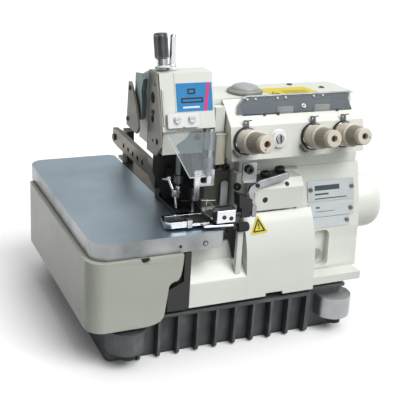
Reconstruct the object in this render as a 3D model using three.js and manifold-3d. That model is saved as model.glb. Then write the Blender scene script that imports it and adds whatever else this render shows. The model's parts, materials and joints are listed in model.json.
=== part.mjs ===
// Industrial three-thread serger overlock machine head, in millimetres, +Z up.
// Shapes are written in the plate frame: its origin is the cloth plate's outer front-left corner,
// at the height of the plate's underside. +X runs towards the handwheel and +Y along the feed.
// The exported group moves that frame so that the part's origin is the middle of the pan's underside.
import * as THREE from 'three';
import { mergeVertices } from 'three/addons/utils/BufferGeometryUtils.js';
import Module from 'manifold-3d';

const wasm = await Module();
wasm.setup();

// ---- driving dimensions -------------------------------------------------------------------------
const GAP = 0.3; // running gap between neighbouring pieces
const DEG = Math.PI / 180;

const PLATE = { width: 107, tongue: 138, depth: 266, tongueDepth: 48, thick: 18, corner: 18, wall: 4 };
const NEEDLE = { x: 112, y: 66, tipZ: 22 };
const PAN = { x0: 20, x1: 297, y0: 15, y1: 255, bottom: -120, rim: -70, wall: 4, rimDrop: 4 };
const PAN_RIB = {
  first: 51.8, pitch: 21.6, count: 9, thick: 3, last: 248.2, lastThick: 5, reach: 10, foot: 5,
};
const EAR = { r: 20, bottom: -102, top: -78, cup: 11, cupOut: 6.5, cupTop: -84 };
const EARS = { front_left: [38, 8], front_right: [283, 11], rear_left: [38, 262], rear_right: [283, 259] };
const FLANGE = { x0: 97, x1: 320, y0: 15, y1: 256, bottom: -68, top: -60 };
const BODY = { left: 170, right: 325.5, back: 215, top: 60, wall: 6, breakZ: 19, footZ: -12 };
const ARM = {
  left: 139.3, right: 314, front: 62, back: 122, top: 132, baseRight: 322, baseTop: 79.7, corner: 22,
};
const DECK_TOP = 138;
const PANEL = {
  x0: 155, x1: 314, bottomY: 30, bottomZ: 80, breakY: 37.5, breakZ: 114, topY: 61.7, topZ: 137,
};
const PANEL_LEAN = Math.atan2(PANEL.breakY - PANEL.bottomY, PANEL.breakZ - PANEL.bottomZ);
const TENSION = { z: 99.5, x: { left: 171.5, middle: 250, right: 287.5 }, discR: 13.2 };
const KNOB_LENGTH = { left: 47, middle: 43.5, right: 42.5 };
const RELEASE = { x: 209, y: 33.5, bossR: 8.5, bore: 4.7, pin: 4.3 };
const SHAFT = { y: 95, z: -5, r: 8, x0: 152, x1: 371 };
const WHEEL = { x0: 327.3, x1: 377, r: 33 };
const HEAD = {
  left: 82, seam: 97, right: 139, bottomY: 39.6, bottomZ: 113, topY: 56, topZ: 167.8, backY: 78,
};
const HEAD_LEAN = Math.atan2(HEAD.topY - HEAD.bottomY, HEAD.topZ - HEAD.bottomZ);
const COVER = { x0: 102.6, ledgeEnd: 170, x1: 253, bottom: -67, hingeY: 6.5, hingeZ: -63.5 };
const SIDE = { x0: -5, x1: 92.3, y0: -5, y1: 246.5, bottom: -75, top: -GAP, wall: 3, corner: 18 };
const PLATE_HINGE = { x: 98, y: 256, r: 3 };
const KNIFE_SHAFT = { y: 76, z: 76, r: 6 };
const PRESSER_PIVOT = { y: 236, z: 50, r: 4 };
const GUARD_PIN = { x: 134, y: 38, r: 2 };
const GUIDE_ROD = { y: 9, z: 31, r: 2.5 };
const PLATE_INSET = { bottom: 14.5, slot0: 10, slot1: 20 }; // needle plate's seat and slots, from below

// ---- materials ----------------------------------------------------------------------------------
const finish = (color, roughness, metalness = 0) => () =>
  new THREE.MeshStandardMaterial({ color, roughness, metalness });
const paint = {
  cream: finish(0xe6e7e0, 0.45), grey: finish(0xa8ac9f, 0.5), khaki: finish(0x8f907f, 0.5, 0.2),
  pan: finish(0x55585a, 0.6, 0.4), black: finish(0x1b1b1d, 0.5), beige: finish(0xc8b9aa, 0.45),
  chrome: finish(0xd5d8dc, 0.15, 1), steel: finish(0x9aa4ab, 0.35, 1), dark: finish(0x4a4d50, 0.4, 1),
  clear: finish(0xdfe6ea, 0.05), smoke: finish(0x6b7278, 0.1), tank: finish(0xe3d9b4, 0.3),
};

// ---- shape helpers ------------------------------------------------------------------------------
const outline = (points) => new THREE.Shape(points.map(([u, v]) => new THREE.Vector2(u, v)));

function circle(u, v, r) {
  const path = new THREE.Path();
  path.absarc(u, v, r, 0, 2 * Math.PI, true);
  return path;
}

function roundedRect(u0, v0, u1, v1, r) {
  const shape = new THREE.Shape();
  shape.absarc(u0 + r, v0 + r, r, Math.PI, 1.5 * Math.PI);
  shape.absarc(u1 - r, v0 + r, r, 1.5 * Math.PI, 2 * Math.PI);
  shape.absarc(u1 - r, v1 - r, r, 0, 0.5 * Math.PI);
  shape.absarc(u0 + r, v1 - r, r, 0.5 * Math.PI, Math.PI);
  return shape;
}

function extrude(shape, depth, segments = 5) {
  return new THREE.ExtrudeGeometry(shape, { depth, bevelEnabled: false, curveSegments: segments });
}

// An outline in (y, z) run from x0 to x1.
function alongX(shape, x0, x1, segments) {
  const turn = new THREE.Matrix4().makeBasis(
    new THREE.Vector3(0, 1, 0), new THREE.Vector3(0, 0, 1), new THREE.Vector3(1, 0, 0));
  return extrude(shape, x1 - x0, segments).applyMatrix4(turn).translate(x0, 0, 0);
}

// An outline in (x, z) run from y0 to y1.
function alongY(shape, y0, y1, segments) {
  return extrude(shape, y1 - y0, segments).rotateX(Math.PI / 2).translate(0, y1, 0);
}

// An outline in (x, y) run from z0 to z1.
function alongZ(shape, z0, z1, segments) {
  return extrude(shape, z1 - z0, segments).translate(0, 0, z0);
}

function block(x0, x1, y0, y1, z0, z1) {
  return new THREE.BoxGeometry(x1 - x0, y1 - y0, z1 - z0)
    .translate((x0 + x1) / 2, (y0 + y1) / 2, (z0 + z1) / 2);
}

const rodX = (y, z, r, x0, x1, sides = 16) => new THREE.CylinderGeometry(r, r, x1 - x0, sides)
  .rotateZ(Math.PI / 2).translate((x0 + x1) / 2, y, z);
const rodY = (x, z, r, y0, y1, sides = 16) => new THREE.CylinderGeometry(r, r, y1 - y0, sides)
  .translate(x, (y0 + y1) / 2, z);
const rodZ = (x, y, r, z0, z1, sides = 16) => new THREE.CylinderGeometry(r, r, z1 - z0, sides)
  .rotateX(Math.PI / 2).translate(x, y, (z0 + z1) / 2);

// A turned piece about +Z, from (radius, height) points.
function turned(profile, sides = 20) {
  const points = profile.map(([r, h]) => new THREE.Vector2(r, h));
  return new THREE.LatheGeometry(points, sides).rotateX(Math.PI / 2);
}

function solid(geometry) {
  const bare = geometry.clone();
  bare.deleteAttribute('normal');
  bare.deleteAttribute('uv');
  const merged = mergeVertices(bare, 1e-4);
  return new wasm.Manifold(new wasm.Mesh({
    numProp: 3,
    vertProperties: new Float32Array(merged.attributes.position.array),
    triVerts: new Uint32Array(merged.index.array),
  }));
}

function fromSolid(body) {
  const mesh = body.getMesh();
  const geometry = new THREE.BufferGeometry();
  geometry.setAttribute('position', new THREE.BufferAttribute(mesh.vertProperties, 3));
  geometry.setIndex(new THREE.BufferAttribute(mesh.triVerts, 1));
  return geometry;
}

const join = (...parts) => fromSolid(parts.map(solid).reduce((a, b) => a.add(b)));
const cut = (base, ...tools) => fromSolid(tools.map(solid).reduce((a, b) => a.subtract(b), solid(base)));

// ---- assembly -----------------------------------------------------------------------------------
const machine = new THREE.Group();
machine.position.set(-(PAN.x0 + PAN.x1) / 2, -(PAN.y0 + PAN.y1) / 2, -PAN.bottom);

function add(name, geometry, material, parent = machine) {
  const mesh = new THREE.Mesh(geometry, material());
  mesh.name = name;
  parent.add(mesh);
  return mesh;
}

function station(x, y, z, tiltX = 0) {
  const group = new THREE.Group();
  group.position.set(x, y, z);
  group.rotation.x = tiltX;
  machine.add(group);
  return group;
}

// ---- oil pan, its gasket and the rubber dampers in its ears -------------------------------------
const cupCentre = (y) => y + (y < 100 ? -EAR.cupOut : EAR.cupOut);
function oilPan() {
  const shell = alongZ(roundedRect(PAN.x0, PAN.y0, PAN.x1, PAN.y1, 6), PAN.bottom, PAN.rim, 3);
  const rimFloor = PAN.rim - PAN.rimDrop;
  const front = PAN.y0 - PAN_RIB.reach;
  const rear = PAN.y1 + PAN_RIB.reach;
  const rim = block(48, PAN_RIB.last + PAN_RIB.lastThick / 2, front, rear, rimFloor, PAN.rim);
  const rimEnds = block(PAN.x0 - 3, PAN.x1 + 3, PAN.y0 - 1, PAN.y1 + 1, rimFloor, PAN.rim);
  const { foot } = PAN_RIB;
  const ribSide = outline([[front, PAN.bottom + foot], [front + 1.5, PAN.bottom + 1.5],
    [front + foot, PAN.bottom], [rear - foot, PAN.bottom], [rear - 1.5, PAN.bottom + 1.5],
    [rear, PAN.bottom + foot], [rear, PAN.rim - 1], [front, PAN.rim - 1]]);
  const ribs = [alongX(ribSide, PAN_RIB.last - PAN_RIB.lastThick / 2, PAN_RIB.last + PAN_RIB.lastThick / 2)];
  for (let i = 0; i < PAN_RIB.count; i += 1) {
    const x = PAN_RIB.first + i * PAN_RIB.pitch;
    ribs.push(alongX(ribSide, x - PAN_RIB.thick / 2, x + PAN_RIB.thick / 2));
  }
  const ears = Object.values(EARS).flatMap(([x, y]) => {
    const inward = y < 100 ? [y, PAN.y0 + 2] : [PAN.y1 - 2, y];
    return [rodZ(x, y, EAR.r, EAR.bottom, EAR.top, 28),
      block(x - EAR.r, x + EAR.r, inward[0], inward[1] + 0.01, EAR.bottom, EAR.top)];
  });
  const cups = Object.values(EARS).map(([x, y]) =>
    rodZ(x, cupCentre(y), EAR.cup, EAR.bottom - 1, EAR.cupTop, 20));
  const sump = block(PAN.x0 + PAN.wall, PAN.x1 - PAN.wall, PAN.y0 + PAN.wall, PAN.y1 - PAN.wall,
    PAN.bottom + PAN.wall, PAN.rim + 1);
  return cut(join(shell, rim, rimEnds, ...ribs, ...ears), sump, ...cups);
}
add('oil_pan', oilPan(), paint.pan);
add('pan_gasket', cut(block(98, 296, 16, 254, PAN.rim + GAP, FLANGE.bottom - GAP),
  block(106, 288, 24, 246, PAN.rim, FLANGE.bottom)), paint.black);
for (const [corner, [x, y]] of Object.entries(EARS)) {
  const body = rodZ(x, cupCentre(y), EAR.cup - 1, EAR.cupTop - 12, EAR.cupTop - GAP, 16);
  const nose = rodZ(x, cupCentre(y), EAR.cup - 3, EAR.bottom - 8, EAR.cupTop - 11, 16);
  add(`damper_${corner}`, join(body, nose), paint.black);
}

// ---- bed and arm castings -----------------------------------------------------------------------
function bedCasting() {
  const flange = cut(block(FLANGE.x0, FLANGE.x1, FLANGE.y0, FLANGE.y1, FLANGE.bottom, FLANGE.top + 1),
    block(FLANGE.x0 + 10, FLANGE.x1 - 30, 34, 208, FLANGE.bottom - 1, FLANGE.top + 2));
  const rightFront = outline([[35, -60], [38, -24], [38, BODY.footZ], [43, BODY.breakZ], [54, BODY.top],
    [BODY.back, BODY.top], [225, -60]]);
  const rightEnd = alongX(rightFront, 244, BODY.right);
  const middle = alongX(
    outline([[46, -60], [46, BODY.top], [BODY.back, BODY.top], [225, -60]]), BODY.left, 245);
  const bulge = alongX(outline([[25, 24.5], [25, 48], [31, 57], [50, 57], [50, 24.5]]), 182, 240);
  const loopers = block(100, 170.5, 30, 246, -61, -3);
  const cheek = block(140.3, 172, 64, BODY.back, -4, BODY.top);
  const rooms = [
    block(146, BODY.right - BODY.wall, 70, 209, -80, BODY.top - BODY.wall),
    block(176, 244, 52, 71, -80, 20), block(244, 316, 48, 71, -80, -6),
    block(106, 147, 29, 240, -80, -9), block(106, 171, 29, 64, -80, 1),
    block(106, 140, 29, 86, -80, 1), block(106, 160, 29, 86, -80, -4.3),
  ];
  const shaftHole = rodX(SHAFT.y, SHAFT.z, SHAFT.r + 5, 315, BODY.right + 1, 20);
  const knifeWeb = block(176, 184, 60, 209.5, -55, 54.5);
  const webHole = rodX(SHAFT.y, SHAFT.z, SHAFT.r + 5, 170, 190, 20);
  const gaugeRecess = alongY(roundedRect(266, -57, 288, -13, 7.9), 30, 45);
  return cut(join(cut(join(flange, rightEnd, middle, bulge, loopers, cheek), ...rooms), knifeWeb),
    shaftHole, webHole, gaugeRecess);
}
add('bed_casting', bedCasting(), paint.cream);
add('oil_gauge', rodY(277.2, -44.5, 6.5, 41.5, 44.7, 16), paint.smoke);

// The deck seen from above, with its rounded corner at the rear right.
function deckPlan(z0, z1) {
  const plan = new THREE.Shape();
  plan.moveTo(ARM.left, 0);
  plan.lineTo(ARM.right, 0);
  plan.absarc(ARM.right - ARM.corner, ARM.back - ARM.corner, ARM.corner, 0, 0.5 * Math.PI);
  plan.lineTo(ARM.left, ARM.back);
  return alongZ(plan, z0, z1, 6);
}

function armCasting() {
  const base = BODY.top + GAP;
  const shell = join(fromSolid(solid(block(165, ARM.right, ARM.front, ARM.back, base, ARM.top))
    .intersect(solid(deckPlan(base, ARM.top)))),
  block(176, ARM.baseRight, 54, ARM.back, base, ARM.baseTop),
  block(ARM.left, 166, ARM.front, ARM.back, 84, ARM.top),
  block(143, 153.5, 50, 63, 106.5, ARM.top));
  return cut(shell, block(171, ARM.right - 6, ARM.front + 6, ARM.back - 6, BODY.top + 6, ARM.top + 1),
    rodX(KNIFE_SHAFT.y, KNIFE_SHAFT.z, KNIFE_SHAFT.r + GAP, 160, 172, 16));
}
add('arm_casting', armCasting(), paint.cream);
const deckSide = outline([[ARM.front + GAP, ARM.top + GAP], [ARM.front + GAP, DECK_TOP],
  [114, DECK_TOP], [120, 136], [ARM.back, ARM.top + GAP]]);
add('top_cover', fromSolid(solid(alongX(deckSide, 141, ARM.right))
  .intersect(solid(deckPlan(ARM.top, DECK_TOP + 1)))), paint.cream);
const dome = station(190.5, 82, DECK_TOP + GAP);
add('oil_dome', turned([[0, 0], [19.3, 0], [19.3, 1.8], [15.7, 3.2], [14.6, 5.4], [11, 8], [6, 9.2],
  [0, 9.5]], 24), paint.clear, dome);

// ---- tension panel, window, discs and knobs -----------------------------------------------------
function tensionPanel() {
  const front = outline([[PANEL.bottomY, PANEL.bottomZ], [PANEL.breakY, PANEL.breakZ],
    [PANEL.topY, PANEL.topZ], [PANEL.topY, PANEL.bottomZ]]);
  const trough = alongX(outline([[46.5, 110], [46.5, 125], [57, 140], [58, 140], [58, 110]]), 172, 304);
  const { x, y, bossR, bore } = RELEASE;
  const onFace = (r, length) => new THREE.CylinderGeometry(r, r, length, 20).rotateX(-PANEL_LEAN)
    .translate(x, y, TENSION.z);
  return cut(join(alongX(front, PANEL.x0, PANEL.x1), onFace(bossR, 6)), trough, onFace(bore, 30));
}
add('tension_panel', tensionPanel(), paint.cream);
const slope = Math.atan2(PANEL.topZ - PANEL.breakZ, PANEL.topY - PANEL.breakY);
const windowFrame = station(238, PANEL.breakY, PANEL.breakZ, slope);
const windowLength = Math.hypot(PANEL.topZ - PANEL.breakZ, PANEL.topY - PANEL.breakY);
add('tension_window', block(-70, 70, 10.6, windowLength - 1, GAP, 2), paint.smoke, windowFrame);

for (const [side, x] of Object.entries(TENSION.x)) {
  const y = PANEL.bottomY + (TENSION.z - PANEL.bottomZ) * Math.tan(PANEL_LEAN);
  const stud = station(x, y, TENSION.z, Math.PI / 2 - PANEL_LEAN);
  const clip = block(-3, 3, 12.4, 17, GAP, 5);
  const discs = turned([[0, GAP], [TENSION.discR, GAP], [TENSION.discR, 3], [2.4, 3], [2.4, 30],
    [0, 30]], 24);
  add(`tension_discs_${side}`, join(discs, clip), paint.black, stud);
  const end = KNOB_LENGTH[side];
  add(`tension_knob_${side}`, turned([[2.7, 3.4], [12.2, 3.4], [12.6, 18], [12.6, 21.5], [10.8, 22],
    [8.9, end - 1], [8, end], [2.7, end], [2.7, 3.4]], 24), paint.beige, stud);
}
const release = station(RELEASE.x, RELEASE.y, TENSION.z, Math.PI / 2 - PANEL_LEAN);
add('tension_release_button', turned([[0, -8], [RELEASE.pin, -8], [RELEASE.pin, 4.4], [3.4, 5.4],
  [0, 5.4]], 16), paint.chrome, release);

// ---- plates on the front wall -------------------------------------------------------------------
// A thin plate with rivets, drawn as if its wall stood upright at y = 0.
function wallPlate(x0, x1, z0, z1, rivets) {
  const plate = block(x0, x1, -0.8 - GAP, -GAP, z0, z1);
  const heads = rivets.map(([x, z]) => rodY(x, z, 2, -2 - GAP, -0.4 - GAP, 8));
  return join(plate, ...heads);
}
const upperWall = Math.atan2(54 - 43, BODY.top - BODY.breakZ);
const lowerWall = Math.atan2(43 - 38, BODY.breakZ - BODY.footZ);
const namePlate = station(0, 43, BODY.breakZ, -upperWall);
add('nameplate', wallPlate(258.5, 318.5, 1, 24.2, [[262.2, 14.4], [315.6, 14.6]]), paint.chrome, namePlate);
const dataPlate = station(0, 38, BODY.footZ, -lowerWall);
add('data_plate', join(wallPlate(259.5, 318.5, 14.4, 30.4, [[314, 21.6]]),
  wallPlate(265, 313, 2, 14.5, [[309.5, 8.1]])), paint.chrome, dataPlate);

// ---- cloth plate and side cover, one door about a pin at the rear --------------------------------
function clothPlate() {
  const { width, tongue, depth, tongueDepth, thick, corner, wall } = PLATE;
  const plan = new THREE.Shape();
  plan.absarc(corner, corner, corner, Math.PI, 1.5 * Math.PI);
  plan.absarc(tongue - 5, 5, 5, 1.5 * Math.PI, 2 * Math.PI);
  plan.lineTo(tongue, tongueDepth);
  plan.lineTo(width, tongueDepth);
  plan.absarc(width - 8, depth - 8, 8, 0, 0.5 * Math.PI);
  plan.absarc(corner, depth - corner, corner, 0.5 * Math.PI, Math.PI);
  const under = [block(wall, width - wall, corner, depth - corner, -1, thick - wall),
    block(corner, tongue - wall, wall, tongueDepth - wall, -1, thick - wall)];
  const { x, y, r } = PLATE_HINGE;
  const knuckle = rodZ(x, y, r + 4, -12, thick - wall + 1, 16);
  const bore = rodZ(x, y, r + GAP, -13, thick - wall, 16);
  const screw = rodY(117, 6.8, 2, -0.6, 1, 10);
  return cut(join(cut(alongZ(plan, 0, thick, 6), ...under), knuckle, screw), bore);
}
add('cloth_plate', clothPlate(), paint.steel);

function sideCover() {
  const { x0, x1, y0, y1, bottom, top, wall, corner } = SIDE;
  const front = new THREE.Shape();
  front.moveTo(x0, top);
  front.lineTo(x0, bottom);
  front.lineTo(50, bottom);
  front.quadraticCurveTo(74, bottom, 74, -62);
  front.lineTo(77.5, -34);
  front.quadraticCurveTo(78.5, -29, 86, -28);
  front.quadraticCurveTo(91.5, -27, x1, top);
  const plan = new THREE.Shape();
  plan.absarc(x0 + corner, y0 + corner, corner, Math.PI, 1.5 * Math.PI);
  plan.lineTo(x1 + 5, y0);
  plan.lineTo(x1 + 5, y1);
  plan.absarc(x0 + 8, y1 - 8, 8, 0.5 * Math.PI, Math.PI);
  const outer = fromSolid(
    solid(alongY(front, y0 - 1, y1 + 1)).intersect(solid(alongZ(plan, bottom - 1, 1, 6))));
  const inner = alongZ(
    roundedRect(x0 + wall, y0 + wall, x1 + 30, y1 - wall, corner - wall), bottom - 1, top - wall);
  const panClearance = block(x0 + wall, x1 + 1, y1 - wall - 1, y1 + 1, bottom - 1, -69);
  return cut(outer, inner, panClearance, rodY(52, top, 4.5, y0 - 1, y0 + wall + 1, 16));
}
add('side_cover', sideCover(), paint.grey);
add('cover_hinge_pin', join(block(93, 104, 248, 262, -32, -22),
  rodZ(PLATE_HINGE.x, PLATE_HINGE.y, PLATE_HINGE.r, -31, 12, 12)), paint.steel);
add('cover_latch_bracket', alongY(outline([[95, -0.6], [102, -0.6], [102, -64], [78, -64], [78, -40],
  [95, -32]]), -1, 4), paint.black);

// ---- front cover --------------------------------------------------------------------------------
function frontCover() {
  const { x0, ledgeEnd, x1, bottom } = COVER;
  const face = [[5, bottom], [7.3, -35], [9, -18], [14, -2], [22, 14], [27.5, 22]];
  const inside = [[30, 20.2], [24.6, 12.2], [16.9, -3.5], [12, -18.8], [10.3, -35], [8, bottom]];
  const shell = alongX(outline([...face, ...inside]), ledgeEnd, x1);
  const foot = [[14, -58], [12, bottom]];
  const end = (x) => alongX(outline([...face, [30, 19.5], [33, -58], ...foot]), x, x + 3);
  const slope = [[5, -41], [25, -25]];
  const ledge = alongX(outline([[5, bottom], ...slope, [25, -5], [28, -5], [28, -28], [24.2, -28],
    [8, -42.2], [8, bottom]]), x0, ledgeEnd + 1);
  const ledgeEndWall = alongX(
    outline([[5, bottom], ...slope, [28, -25], [28, -58], ...foot]), x0, x0 + 3);
  const post = block(157.6, 164, 9.6, 15, -42, 10.5);
  return cut(join(shell, end(ledgeEnd), end(x1 - 3), ledge, ledgeEndWall, post),
    block(194, 214.5, 4, 12, bottom - 1, bottom + 3.6));
}
add('front_cover', frontCover(), paint.cream);

// ---- main shaft, bushes and handwheel -----------------------------------------------------------
add('main_shaft', join(rodX(SHAFT.y, SHAFT.z, SHAFT.r, SHAFT.x0, SHAFT.x1, 20),
  rodX(SHAFT.y, SHAFT.z, 16, 204, 214, 20), rodX(SHAFT.y, SHAFT.z, 14, 250, 258, 20)), paint.steel);
const bush = (x0, x1) => cut(rodX(SHAFT.y, SHAFT.z, SHAFT.r + 4.7, x0, x1, 20),
  rodX(SHAFT.y, SHAFT.z, SHAFT.r + 0.1, x0 - 1, x1 + 1, 20));
add('shaft_bush_left', bush(174, 186), paint.dark);
add('shaft_bush_right', bush(316, 326), paint.dark);
const wheel = station(WHEEL.x0, SHAFT.y, SHAFT.z);
wheel.rotation.y = Math.PI / 2;
const wheelLength = WHEEL.x1 - WHEEL.x0;
add('handwheel', turned([[8.3, 0], [WHEEL.r - 2, 0], [WHEEL.r, 2], [WHEEL.r, wheelLength - 9],
  [WHEEL.r - 1.1, wheelLength - 4.6], [WHEEL.r - 4, wheelLength - 1.6], [WHEEL.r - 9, wheelLength],
  [0, wheelLength], [0, wheelLength - 5], [8.3, wheelLength - 5], [8.3, 0]], 32), paint.cream, wheel);

// ---- needle head --------------------------------------------------------------------------------
const headFace = (z) => HEAD.bottomY + (z - HEAD.bottomZ) * Math.tan(HEAD_LEAN);
function headCasting() {
  const side = outline([[HEAD.bottomY, HEAD.bottomZ], [HEAD.topY, HEAD.topZ], [HEAD.backY, HEAD.topZ],
    [112, 154], [117, HEAD.bottomZ]]);
  const strip = alongX(side, HEAD.left, HEAD.seam);
  const rear = alongX(outline([[86, 88], [86, 163], [112, 153], [117, 88]]), HEAD.seam - 1, HEAD.right);
  const lower = block(84, 127, 44, 112, 88, HEAD.bottomZ + 1);
  const barHole = rodZ(NEEDLE.x, NEEDLE.y, 3.6, 80, 120, 14);
  return cut(join(strip, rear, lower), barHole);
}
add('head_casting', headCasting(), paint.cream);

function headCover() {
  const y0 = headFace(114.5);
  const side = outline([[y0, 114.5], [HEAD.topY, HEAD.topZ], [HEAD.backY, HEAD.topZ], [85.5, 164],
    [85.5, 114.5]]);
  const hood = alongX(side, HEAD.seam + GAP, HEAD.right);
  const room = alongX(outline([[y0 + 5, 113], [60, 163], [76, 163], [87, 159], [87, 113]]),
    HEAD.seam + 4, HEAD.right - 4);
  return cut(hood, room);
}
add('head_cover', headCover(), paint.cream);

function plateWithHoles(points, holes, x0, x1) {
  const shape = outline(points);
  holes.forEach(([y, z, r]) => shape.holes.push(circle(y, z, r)));
  return alongX(shape, x0, x1, 4);
}
add('head_side_plate', plateWithHoles([[77, 168], [58, 168], [41, 119], [38, 98], [52, 85], [77, 85]],
  [[60, 156, 2], [64, 142, 6], [63, 121, 4.5], [60, 99, 1.8], [49, 101, 3.4]],
  HEAD.left - 2.3, HEAD.left - GAP), paint.khaki);
add('rear_side_plate', plateWithHoles([[113, 148], [99, 148], [93, 120], [95, 99], [117, 101]],
  [[109, 142, 2.2], [113, 108, 2.2]], 71, 73.5), paint.khaki);
add('spring_guard', alongX(outline([[70, 168], [99, 160], [101, 140], [97, 122], [88, 112], [80, 130],
  [76, 150]]), 74, 79.2), paint.dark);
const clampTilt = station(0, headFace(120), 120, -HEAD_LEAN);
add('head_clamp_plate', join(block(85, 120, -5.5, -GAP, -7, 6.5), rodY(93, 1, 4, -7.5, -5, 12),
  rodY(110, 1, 4, -7.5, -5, 12)), paint.chrome, clampTilt);

const pressure = station(90, 67, HEAD.topZ + GAP + 2.1, -HEAD_LEAN);
add('pressure_screw', turned([[0, 0], [6.2, 0], [6.2, 9.6], [2.5, 9.6], [2.5, 26], [0, 26]], 16),
  paint.chrome, pressure);
add('pressure_cap', turned([[2.8, 10], [6.4, 10], [7.4, 11.4], [7.2, 33.2], [5.8, 34.8], [0, 34.8],
  [0, 27], [2.8, 27], [2.8, 10]], 20), paint.dark, pressure);
const post = station(102, 72, HEAD.topZ + GAP);
add('thread_post', turned([[0, 0], [5.6, 0], [5.6, 3], [3.9, 3], [2.9, 33.6], [2.3, 34.6], [0, 34.6]], 14),
  paint.chrome, post);

// ---- needle bar, needle, feed dog, loopers and knives -------------------------------------------
add('needle_bar', rodZ(NEEDLE.x, NEEDLE.y, 3.5, 58, 146, 14), paint.chrome);
const needlePoint = new THREE.ConeGeometry(0.9, 9, 8).rotateX(-Math.PI / 2)
  .translate(NEEDLE.x, NEEDLE.y, NEEDLE.tipZ + 4.5);
add('needle_clamp', join(rodZ(NEEDLE.x, NEEDLE.y, 5.2, 49, 57.7, 12),
  rodZ(NEEDLE.x, NEEDLE.y, 1.1, 30, 50, 8), needlePoint), paint.chrome);

function needlePlate() {
  const { bottom, slot0, slot1 } = PLATE_INSET;
  const plate = block(107.6, 138, 48.5, 120, bottom, PLATE.thick);
  return cut(plate, block(110.3, 113.7, 62, 70, slot0, slot1), block(108.2, 109.9, 56, 84, slot0, slot1),
    block(114.4, 117.8, 56, 84, slot0, slot1), block(122, 129, 48, 65, slot0, slot1));
}
add('needle_plate', needlePlate(), paint.chrome);
add('back_plate', cut(join(block(107.6, 138, 120.3, 224, PLATE_INSET.bottom, PLATE.thick),
  block(112, 138, 200, 262, PLATE_INSET.bottom, PLATE.thick)),
  block(109.5, 120.5, 227.5, 244.5, PLATE_INSET.slot0, PLATE_INSET.slot1)), paint.steel);
add('feed_dog', join(block(108.4, 117.6, 74, 80, 5, 12), block(108.4, 109.7, 60, 80, 8, 18.1),
  block(114.6, 117.6, 60, 80, 8, 18.1)), paint.steel);
add('lower_looper', join(rodY(138, -34, 5, 58, 160, 12), block(134.5, 141.5, 60, 66, -34, -6),
  block(119, 139, 62, 65, -9.5, -6.5), block(119, 121.4, 62, 65, -9, 3)), paint.chrome);
add('upper_looper', join(rodY(150, -26, 5, 66.5, 92, 12), block(147, 153, 69, 73, -26, -5),
  block(124, 150, 70, 72.4, -8, -5), block(124, 127, 70, 72.4, -8, 9)), paint.chrome);
add('lower_knife', block(125.7, 128.3, 50, 61.5, -6, PLATE.thick), paint.steel);
add('upper_knife_arm', join(rodX(KNIFE_SHAFT.y, KNIFE_SHAFT.z, KNIFE_SHAFT.r, 131, 178, 16),
  alongX(outline([[85, 72], [83, 82], [73, 84], [67, 78], [53, 46], [53, 34], [60, 34], [63, 44],
    [80, 66]]), 126, 136)), paint.dark);
add('upper_knife', block(122.8, 125.4, 53, 61, 19.2, 46), paint.steel);

// ---- presser arm and foot -----------------------------------------------------------------------
function presserArm() {
  const bar = alongX(outline([[98, 32], [118, 41], [226, 41], [243, 43], [243, 60], [226, 61],
    [122, 59], [98, 44]]), 98, 104);
  const holes = [138, 154, 170, 186, 202].map((y) => rodX(y, 49, 3, 97, 105, 10));
  const bore = rodX(PRESSER_PIVOT.y, PRESSER_PIVOT.z, PRESSER_PIVOT.r + GAP, 97, 105, 14);
  return cut(bar, ...holes, bore);
}
add('presser_arm', presserArm(), paint.khaki);
function presserFoot() {
  const sole = alongX(outline([[52, 22], [56, 18.4], [112, 18.4], [112, 22.5], [104, 38], [97.5, 38],
    [97.5, 31.7], [100, 22.5], [56, 22.5]]), 104.3, 121.4);
  return cut(sole, block(109, 115, 58, 74, 10, 30), block(104, 122, 96, 99, 31.7, 40));
}
add('presser_foot', presserFoot(), paint.chrome);
add('presser_pivot', join(block(110, 120, 228, 244, -2.7, 14.2), block(111.5, 120, 228, 244, 14, 58),
  rodX(PRESSER_PIVOT.y, PRESSER_PIVOT.z, PRESSER_PIVOT.r, 96, 114, 14)), paint.dark);

// ---- eye guard, lubricator and fabric guide -----------------------------------------------------
function eyeGuard() {
  const pane = alongY(outline([[83, 112], [111, 64.5], [130, 64.5], [130, 112]]), 34, 36);
  const { x, y, r } = GUARD_PIN;
  const knuckle = rodZ(x, y, r + 3, 64.5, 112, 14);
  const web = block(129, x, 34, y, 64.5, 112);
  return cut(join(pane, knuckle, web), rodZ(x, y, r + 0.4, 60, 120, 12));
}
add('eye_guard', eyeGuard(), paint.clear);
add('eye_guard_bracket', join(rodZ(GUARD_PIN.x, GUARD_PIN.y, GUARD_PIN.r, 58, 113.5, 10),
  block(131, 137, 36, 46, 56, 64.2),
  cut(block(121, 144, 44, 46.5, 50, 69), block(129, 138, 43, 48, 65, 67.5)),
  block(121, 126, 44, 46.5, 38, 51), block(138, 144, 45, 63.7, 52, 58)), paint.chrome);
add('thread_lubricator', block(143.5, 155, 45, 61.7, 72, 105.5), paint.tank);

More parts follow.
